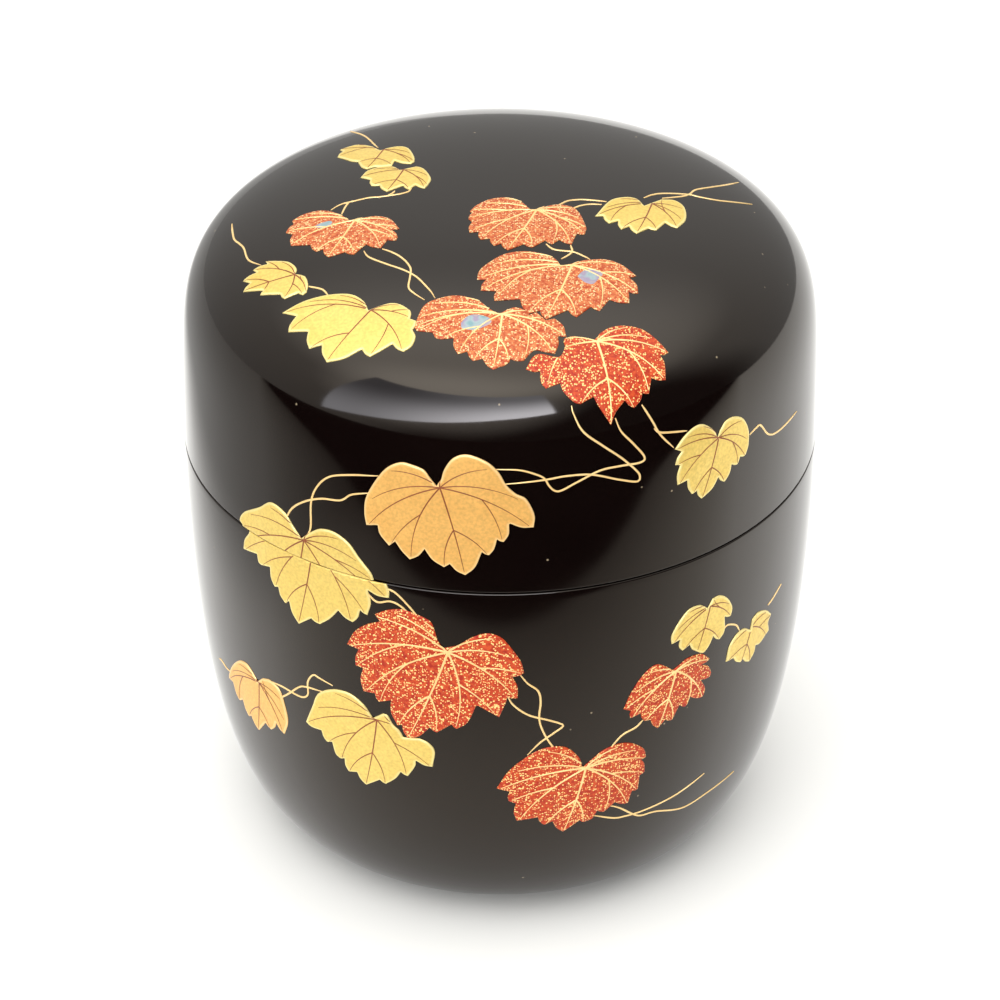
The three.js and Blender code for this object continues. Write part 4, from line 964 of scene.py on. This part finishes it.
def keep_side(piece, height, above):
    """Cuts a closed mesh at a height in mm, and keeps what is above or below it."""
    sculpt = bmesh.new()
    sculpt.from_mesh(piece.data)
    geometry = sculpt.verts[:] + sculpt.edges[:] + sculpt.faces[:]
    cut = bmesh.ops.bisect_plane(sculpt, geom=geometry, plane_co=(0, 0, height * MM), plane_no=(0, 0, 1),
                                 clear_inner=above, clear_outer=not above, dist=1e-7)
    rims = [e for e in cut["geom_cut"] if isinstance(e, bmesh.types.BMEdge)]
    bmesh.ops.holes_fill(sculpt, edges=rims, sides=0)
    bmesh.ops.recalc_face_normals(sculpt, faces=sculpt.faces)
    sculpt.to_mesh(piece.data)
    sculpt.free()


# ---- Sizes that a user would change ----
def size_of(name, description, default, low, high):
    """A length that a user may change, given in mm."""
    return bpy.props.FloatProperty(name=name, description=description, default=default * MM, min=low * MM,
                                   max=high * MM, unit="LENGTH", precision=5)


class TeaCaddySizes(bpy.types.PropertyGroup):
    leaf_height: size_of("Leaf height", "How far a raised leaf stands over the lacquer", 0.15, 0.05, 0.6)
    vein_width: size_of("Vein width", "Width of a red leaf's vein where it starts", 0.27, 0.05, 0.8)
    tendril_width: size_of("Tendril width", "Width of a gold tendril at its thickest", 0.24, 0.05, 0.8)
    tendril_height: size_of("Tendril height", "How far a tendril stands over the lacquer", 0.07, 0.01, 0.3)
    lacquer_fillet: size_of("Lacquer fillet", "Radius of the lacquer's edges at the seam and the rim", 0.16,
                            0.1, 0.38)


def colour_of(name, description, code):
    """A colour that a user may change, with its default as an sRGB hex value."""
    return bpy.props.FloatVectorProperty(name=name, description=description, subtype="COLOR", size=4, min=0,
                                         max=1, default=linear(code))


class TeaCaddyColours(bpy.types.PropertyGroup):
    black_lacquer: colour_of("Black lacquer", "Ground of the lacquer", "#070303")
    black_lacquer_deep: colour_of("Black lacquer, brown", "The browner patches of the lacquer", "#0d0706")
    mote: colour_of("Motes", "Gold motes in the black lacquer", "#8d8069")
    gold: colour_of("Pale gold", "Gold powder of the pale leaves", "#e6c972")
    gold_deep: colour_of("Pale gold, deeper", "Where the pale powder lies thicker", "#dbba5a")
    # Painted highlight: the paler colour painted along the rounded edge of the pale leaves.
    gold_edge: colour_of("Pale gold, edge", "Burnished edge of the pale leaves", "#ecd88e")
    red_gold: colour_of("Red gold", "Gold powder of the orange leaves", "#ecb866")
    red_gold_deep: colour_of("Red gold, deeper", "Where the red-gold powder lies thicker", "#e0a857")
    # Painted highlight: the paler colour painted along the rounded edge of the orange leaves.
    red_gold_edge: colour_of("Red gold, edge", "Burnished edge of the orange leaves", "#f3ca88")
    vermilion: colour_of("Vermilion", "Ground of the deep red leaves", "#9c2009")
    vermilion_bright: colour_of("Vermilion, lighter", "Lighter mottling of the deep red leaves", "#c24a1c")
    vermilion_flake: colour_of("Gold flakes", "Gold flakes in the deep red leaves", "#fbd084")
    coral: colour_of("Coral", "Ground of the light red leaves", "#a63c18")
    coral_bright: colour_of("Coral, lighter", "Lighter mottling of the light red leaves", "#cc7844")
    coral_flake: colour_of("Coral's flakes", "Gold flakes in the light red leaves", "#f0cc92")
    gold_line: colour_of("Gold line", "Veins of the red leaves, and the tendrils", "#eabf78")
    gold_line_bright: colour_of("Gold line, bright", "Where the line is burnished", "#fbdc9e")
    brown_vein: colour_of("Brown vein", "Veins of the gold leaves", "#6b2c10")
    brown_vein_bright: colour_of("Brown vein, lighter", "Where the brown lacquer is thin", "#985422")
    wood: colour_of("Wood", "The turned wood of the two cores", "#b98d5a")
    wood_ring: colour_of("Wood, rings", "Growth rings of the wood", "#8a5f36")


# ---- Operators ----
SEAM_CORNER = 0.15              # radii in mm of the lacquer's other edges
MOUTH_CORNER = 0.3
FOOT_CORNER = 0.25
RIM_ROUND = 0.38
BASE_JOINT = FOOT_RADIUS - 0.7  # where the base's lacquer meets the side's


def lacquer(name, profile, body, node):
    """A lacquer coat from its closed profile, in place of the solid model's own."""
    make_piece(name, *turn_profile(profile), [finish_for("black")], body, "black_lacquer", [node])


class TEACADDY_OT_body_lacquer(bpy.types.Operator):
    """Lays the lacquer on the body: outside with its mouth rim, inside, and the base"""

    bl_idname = "teacaddy.body_lacquer"
    bl_label = "Body lacquer"

    def execute(self, context):
        fillet = context.scene.tea_caddy_sizes.lacquer_fillet / MM
        wall = BODY_OUTSIDE[1:]
        foot = [((BASE_JOINT, 0.5), 0), ((BASE_JOINT, 0), 0), ((FOOT_RADIUS, 0), FOOT_CORNER),
                (tuple(wall[-3]), 0)]
        rim = [
            (tuple(wall[0]), 0), ((RADIUS, SEAM), fillet), ((RIM_OUTSIDE, SEAM), SEAM_CORNER),
            ((RIM_OUTSIDE, RIM_TOP), RIM_ROUND), ((RIM_INSIDE, RIM_TOP), RIM_ROUND),
            ((RIM_INSIDE, RIM_TOP - COAT), 0), ((RIM_OUTSIDE - COAT, RIM_TOP - COAT), 0),
            ((RIM_OUTSIDE - COAT, SEAM - COAT), 0), ((RADIUS - COAT, SEAM - COAT), 0),
        ]
        under = offset(BODY_OUTSIDE, COAT)[4:-3]
        outside = [*rounded(foot)[:-1], *wall[::-1][2:], *rounded(rim)[1:], *under]
        lacquer("outside_lacquer_of_body", outside, "body", "body_outer_lacquer")
        cavity = [(RIM_INSIDE, RIM_TOP - COAT), *BODY_INSIDE]
        lining = [*offset(BODY_INSIDE, -COAT)[::-1], (RIM_INSIDE + COAT, RIM_TOP - COAT)]
        lacquer("inside_lacquer_of_body", [*cavity, *lining], "body", "body_inner_lacquer")
        ring = FOOT_RADIUS - FOOT_RING
        base = rounded([
            ((0, BASE_RECESS), 0), ((ring - COAT, BASE_RECESS), MOUTH_CORNER), ((ring, 0), FOOT_CORNER),
            ((BASE_JOINT, 0), 0), ((BASE_JOINT, COAT), 0), ((ring + COAT, COAT), 0),
            ((ring, BASE_RECESS + COAT), 0), ((0, BASE_RECESS + COAT), 0),
        ])
        lacquer("base_lacquer_of_body", base, "body", "base_lacquer")
        return {"FINISHED"}


class TEACADDY_OT_lid_lacquer(bpy.types.Operator):
    """Lays the lacquer on the lid: outside with its mouth, and inside"""

    bl_idname = "teacaddy.lid_lacquer"
    bl_label = "Lid lacquer"

    def execute(self, context):
        fillet = context.scene.tea_caddy_sizes.lacquer_fillet / MM
        crown = LID_OUTSIDE[LID_OUTSIDE[:, 1] > LID_EDGE + 0.6]
        mouth = [
            (tuple(crown[-1]), 0), ((RADIUS, LID_EDGE), fillet), ((LID_MOUTH, LID_EDGE), MOUTH_CORNER),
            ((LID_MOUTH, LID_EDGE + COAT), 0), ((RADIUS - COAT, LID_EDGE + COAT), 0),
        ]
        outside = [*crown, *rounded(mouth)[1:], *offset(crown, COAT)[::-1]]
        lacquer("outside_lacquer_of_lid", outside, "lid", "lid_outer_lacquer")
        hollow = [*LID_INSIDE, (LID_MOUTH, LID_EDGE + COAT)]
        lining = [*offset(LID_INSIDE, -COAT), (LID_MOUTH + COAT, LID_EDGE + COAT)]
        lacquer("inside_lacquer_of_lid", [*hollow, *lining[::-1]], "lid", "lid_inner_lacquer")
        return {"FINISHED"}


class TEACADDY_OT_wood(bpy.types.Operator):
    """Gives the turned wood cores of the body and the lid their grain"""

    bl_idname = "teacaddy.wood"
    bl_label = "Wood cores"

    def execute(self, context):
        for node in ("body_core", "lid_core"):
            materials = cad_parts[node].data.materials
            materials.clear()
            materials.append(finish_for("wood"))
        return {"FINISHED"}


class TEACADDY_OT_leaves(bpy.types.Operator):
    """Raises the vine leaves, with their veins, on the lid and the body"""

    bl_idname = "teacaddy.leaves"
    bl_label = "Vine leaves"

    def execute(self, context):
        for name, finish_key, place, turn, edge in LEAVES:
            points, faces, kinds, marks, materials = build_leaf(finish_key, place, turn, edge)
            slot = SLOTS[finish_key]
            if name != "seam_leaf":
                body = name.split("_")[0]
                make_piece("raised_" + name, points, faces, materials, body, slot, [name], kinds, marks)
                continue
            for body, height, turned in (("lid", LID_EDGE, LID_TURN), ("body", SEAM, 0)):
                cos, sin = math.cos(turned), math.sin(turned)
                moved = points @ np.array([[cos, sin, 0], [-sin, cos, 0], [0, 0, 1]])
                half = make_piece(f"raised_{body}_half_of_seam_leaf", moved, faces, materials, body, slot,
                                  [f"{body}_half_of_seam_leaf"], kinds, marks)
                keep_side(half, height, body == "lid")
        return {"FINISHED"}


INLAY_SPACING = 0.2             # mm between the points of its edge
INLAY_EDGE = 0.15               # mm in from its edge, over which it rises
INLAY_RISE = 0.03               # mm over its leaf
INLAY_BED = 0.02                # mm over the lacquer, where its underside lies


class TEACADDY_OT_inlays(bpy.types.Operator):
    """Sets the shell inlays in three of the red leaves"""

    bl_idname = "teacaddy.inlays"
    bl_label = "Shell inlays"

    def execute(self, context):
        height = context.scene.tea_caddy_sizes.leaf_height / MM
        for name, place, edge in INLAYS:
            corners = np.array([flat_point(*p) for p in edge])
            outline = smooth_line(np.vstack([corners, corners[:1]]), INLAY_SPACING)[:-1]
            flat, faces = fill_outline(outline)
            crowned = np.clip(distance_to(flat, outline, True) / INLAY_EDGE, 0, 1)
            top, _ = lay(place, 0, flat, height + INLAY_RISE * crowned)
            bottom, _ = lay(place, 0, flat, INLAY_BED)
            points, faces = closed_plate(top, bottom, faces)
            make_piece("polished_" + name, points, faces, [finish_for("shell")], "lid", "shell", [name])
        return {"FINISHED"}


class TEACADDY_OT_tendrils(bpy.types.Operator):
    """Draws the gold tendrils between the leaves"""

    bl_idname = "teacaddy.tendrils"
    bl_label = "Tendrils"

    def execute(self, context):
        sizes = context.scene.tea_caddy_sizes
        width, height = sizes.tendril_width / MM, sizes.tendril_height / MM
        for body in ("lid", "body"):
            lines = []
            for home, places in TENDRILS:
                if home != body:
                    continue
                azimuth, run = np.array(places, float).T
                reach = skin_at(run)[0].mean()
                path = smooth_line(np.column_stack([np.radians(azimuth) * reach, run]), 0.25)
                centre, normals = on_skin(path[:, 0] / reach, path[:, 1], 0.0)
                share = np.linspace(0, 1, len(path))
                taper = np.interp(share, [0, 0.12, 0.85, 1], [0.55, 1, 0.9, 0.35])
                lines.append((centre, normals, width * taper, height))
            points, faces = raised_lines(lines)
            make_piece(f"gold_tendrils_of_{body}", points, faces, [finish_for("line")], body, "gold_leaf")
        return {"FINISHED"}


# ---- Stage, in metres and degrees ----
LAMP_AIM = Vector((0, 0, 0.03))
LAMP_REACH = 1.2
CAMERA_TILT = 32.5
CAMERA_AIM = Vector((0, 0, 0.0375))
CAMERA_REACH = 0.396
CAMERA_DROP = 0.00167           # of the camera, square to its line of sight
SOFTBOX_LEFT, SOFTBOX_RIGHT, SOFTBOX_TOP = -62, 20, 54
SOFTBOX_LOW_EDGE = (-62, -20, 0, 20), (3, 17, 24, 29)     # azimuths, and the low edge's height at each
SOFTBOX_COLUMNS, SOFTBOX_ROWS = 25, 9
SOFTBOX_MIDDLE = Vector((0, 0, 0.05))                     # of its curve, which is 1 m in radius
BOARD_CORNERS = ((-3, -3), (3, -3), (3, 3), (-3, 3))
SHADE_LIFT = 0.0004             # of the mirrored board over the white one


def direction(azimuth, elevation):
    """The unit vector towards an azimuth, round to the right from the front, and an elevation."""
    a, e = math.radians(azimuth), math.radians(elevation)
    return (math.sin(a) * math.cos(e), -math.cos(a) * math.cos(e), math.sin(e))


def cosine(degrees):
    return math.cos(math.radians(degrees))


def soft_studio():
    # A pale room, brighter up its walls and on its ceiling.
    world = bpy.data.worlds.new("soft_studio")
    world.use_nodes = True
    tree = world.node_tree
    tree.nodes.clear()
    view = add(tree, "TexCoord").outputs["Generated"]
    height = add(tree, "SeparateXYZ", {0: view}).outputs[2]
    walls = add(tree, "MapRange", {"Value": height, "From Min": 0, "From Max": 0.8, "To Min": 0.6,
                                   "To Max": 0.95})
    ceiling = add(tree, "MapRange", {"Value": height, "From Min": 0.6, "From Max": 0.95, "To Min": 0,
                                     "To Max": 1.3}, interpolation_type="SMOOTHSTEP")
    tent = add(tree, "Math", {0: walls, 1: ceiling}, operation="ADD")
    # The room in front and to the right is dark up to about 40 degrees.
    squash = add(tree, "VectorMath", {0: view, 1: (1, 1, 1.5)}, operation="MULTIPLY")
    unit = add(tree, "VectorMath", {0: squash}, operation="NORMALIZE")
    facing = add(tree, "VectorMath", {0: unit, 1: direction(30, -4)}, operation="DOT_PRODUCT")
    dark = add(tree, "MapRange", {"Value": facing, "From Min": cosine(80), "From Max": cosine(50),
                                  "To Min": 1, "To Max": 0.06}, interpolation_type="SMOOTHSTEP")
    around = add(tree, "Math", {0: tent, 1: dark}, operation="MULTIPLY")
    # The softbox spills light on the ceiling round it.
    toward = add(tree, "VectorMath", {0: view, 1: direction(-20, 44)}, operation="DOT_PRODUCT")
    spill = add(tree, "MapRange", {"Value": toward, "From Min": cosine(48), "From Max": cosine(12),
                                   "To Min": 0, "To Max": 1.4}, interpolation_type="SMOOTHSTEP")
    total = add(tree, "Math", {0: around, 1: spill}, operation="ADD")
    background = add(tree, "Background", {"Color": linear("#fffefb"), "Strength": total})
    add(tree, "OutputWorld", {"Surface": background})
    return world


def stage_sheet(name, points, faces, finish_key, mirrored_only):
    """A sheet of the stage. If mirrored_only, it shows in reflections and neither lights nor shades."""
    mesh = bpy.data.meshes.new(name)
    mesh.from_pydata(points, [], faces)
    mesh.materials.append(finish_for(finish_key))
    sheet = bpy.data.objects.new(name, mesh)
    bpy.context.collection.objects.link(sheet)
    if mirrored_only:
        sheet.visible_camera = False
        sheet.visible_diffuse = False
        sheet.visible_shadow = False
    return sheet


def light_softbox():
    """A wide curved softbox in front and above, a little to the left. Only reflections see it."""
    points, across, up = [], [], []
    for azimuth in np.linspace(SOFTBOX_LEFT, SOFTBOX_RIGHT, SOFTBOX_COLUMNS):
        low = np.interp(azimuth, *SOFTBOX_LOW_EDGE)
        for share in np.linspace(0, 1, SOFTBOX_ROWS):
            towards = direction(azimuth, low + (SOFTBOX_TOP - low) * share)
            points.append(Vector(towards) + SOFTBOX_MIDDLE)
            across.append((azimuth - SOFTBOX_LEFT) / (SOFTBOX_RIGHT - SOFTBOX_LEFT))
            up.append(share)
    rows = SOFTBOX_ROWS
    faces = [(i * rows + j, i * rows + j + 1, (i + 1) * rows + j + 1, (i + 1) * rows + j)
             for i in range(SOFTBOX_COLUMNS - 1) for j in range(rows - 1)]
    softbox = stage_sheet("softbox", points, faces, "softbox", True)
    for mark, values in (("across", across), ("up", up)):
        layer = softbox.data.attributes.new(mark, "FLOAT", "POINT")
        layer.data.foreach_set("value", np.asarray(values, np.float32))


class TEACADDY_OT_stage(bpy.types.Operator):
    """Sets the caddy on a white board in soft light, with the camera a little above it"""

    bl_idname = "teacaddy.stage"
    bl_label = "Stage"

    def execute(self, context):
        scene = context.scene
        scene.view_settings.view_transform = "Standard"
        board = [(x, y, 0) for x, y in BOARD_CORNERS]
        stage_sheet("white_board", board, [(0, 1, 2, 3)], "board", False)
        # Only reflections see the shaded board, so the white one stays white to the eye.
        lifted = [(x, y, SHADE_LIFT) for x, y in BOARD_CORNERS]
        stage_sheet("board_in_shade", lifted, [(0, 1, 2, 3)], "shade", True)
        scene.world = soft_studio()
        light_softbox()

        # A broad lamp in front lights the leaves. The lacquer doesn't mirror it.
        lamp = bpy.data.lights.new("front_lamp", "AREA")
        lamp.size = 0.7
        lamp.energy = 5.5
        front_lamp = bpy.data.objects.new("front_lamp", lamp)
        context.collection.objects.link(front_lamp)
        front_lamp.location = LAMP_AIM + Vector(direction(6, 18)) * LAMP_REACH
        front_lamp.rotation_euler = (LAMP_AIM - front_lamp.location).to_track_quat("-Z", "Y").to_euler()
        front_lamp.visible_glossy = False

        camera_data = bpy.data.cameras.new("camera")
        camera_data.lens = 134.5
        camera_data.sensor_width = 36
        camera_data.clip_end = 20
        camera = bpy.data.objects.new("camera", camera_data)
        context.collection.objects.link(camera)
        tilt = math.radians(CAMERA_TILT)
        back = Vector(direction(0, CAMERA_TILT))
        over = Vector((0, math.sin(tilt), math.cos(tilt)))
        camera.location = CAMERA_AIM + back * CAMERA_REACH - over * CAMERA_DROP
        camera.rotation_euler = (math.radians(90) - tilt, 0, 0)
        scene.camera = camera
        return {"FINISHED"}


STEPS = (
    TEACADDY_OT_body_lacquer,
    TEACADDY_OT_lid_lacquer,
    TEACADDY_OT_wood,
    TEACADDY_OT_leaves,
    TEACADDY_OT_inlays,
    TEACADDY_OT_tendrils,
    TEACADDY_OT_stage,
)


class TEACADDY_PT_panel(bpy.types.Panel):
    """Lists the caddy's sizes, colours and pieces"""

    bl_idname = "TEACADDY_PT_panel"
    bl_label = "Tea Caddy"
    bl_space_type = "VIEW_3D"
    bl_region_type = "UI"
    bl_category = "Tea Caddy"

    def draw(self, context):
        for size in TeaCaddySizes.__annotations__:
            self.layout.prop(context.scene.tea_caddy_sizes, size)
        for colour in TeaCaddyColours.__annotations__:
            self.layout.prop(context.scene.tea_caddy_colours, colour)
        for step in STEPS:
            self.layout.operator(step.bl_idname)


def register():
    for item in (TeaCaddySizes, TeaCaddyColours, *STEPS, TEACADDY_PT_panel):
        bpy.utils.register_class(item)
    bpy.types.Scene.tea_caddy_sizes = bpy.props.PointerProperty(type=TeaCaddySizes)
    bpy.types.Scene.tea_caddy_colours = bpy.props.PointerProperty(type=TeaCaddyColours)


def unregister():
    del bpy.types.Scene.tea_caddy_colours
    del bpy.types.Scene.tea_caddy_sizes
    for item in reversed((TeaCaddySizes, TeaCaddyColours, *STEPS, TEACADDY_PT_panel)):
        bpy.utils.unregister_class(item)


def main():
    register()
    for step in STEPS:
        group, name = step.bl_idname.split(".")
        getattr(getattr(bpy.ops, group), name)()


if __name__ == "__main__":
    main()
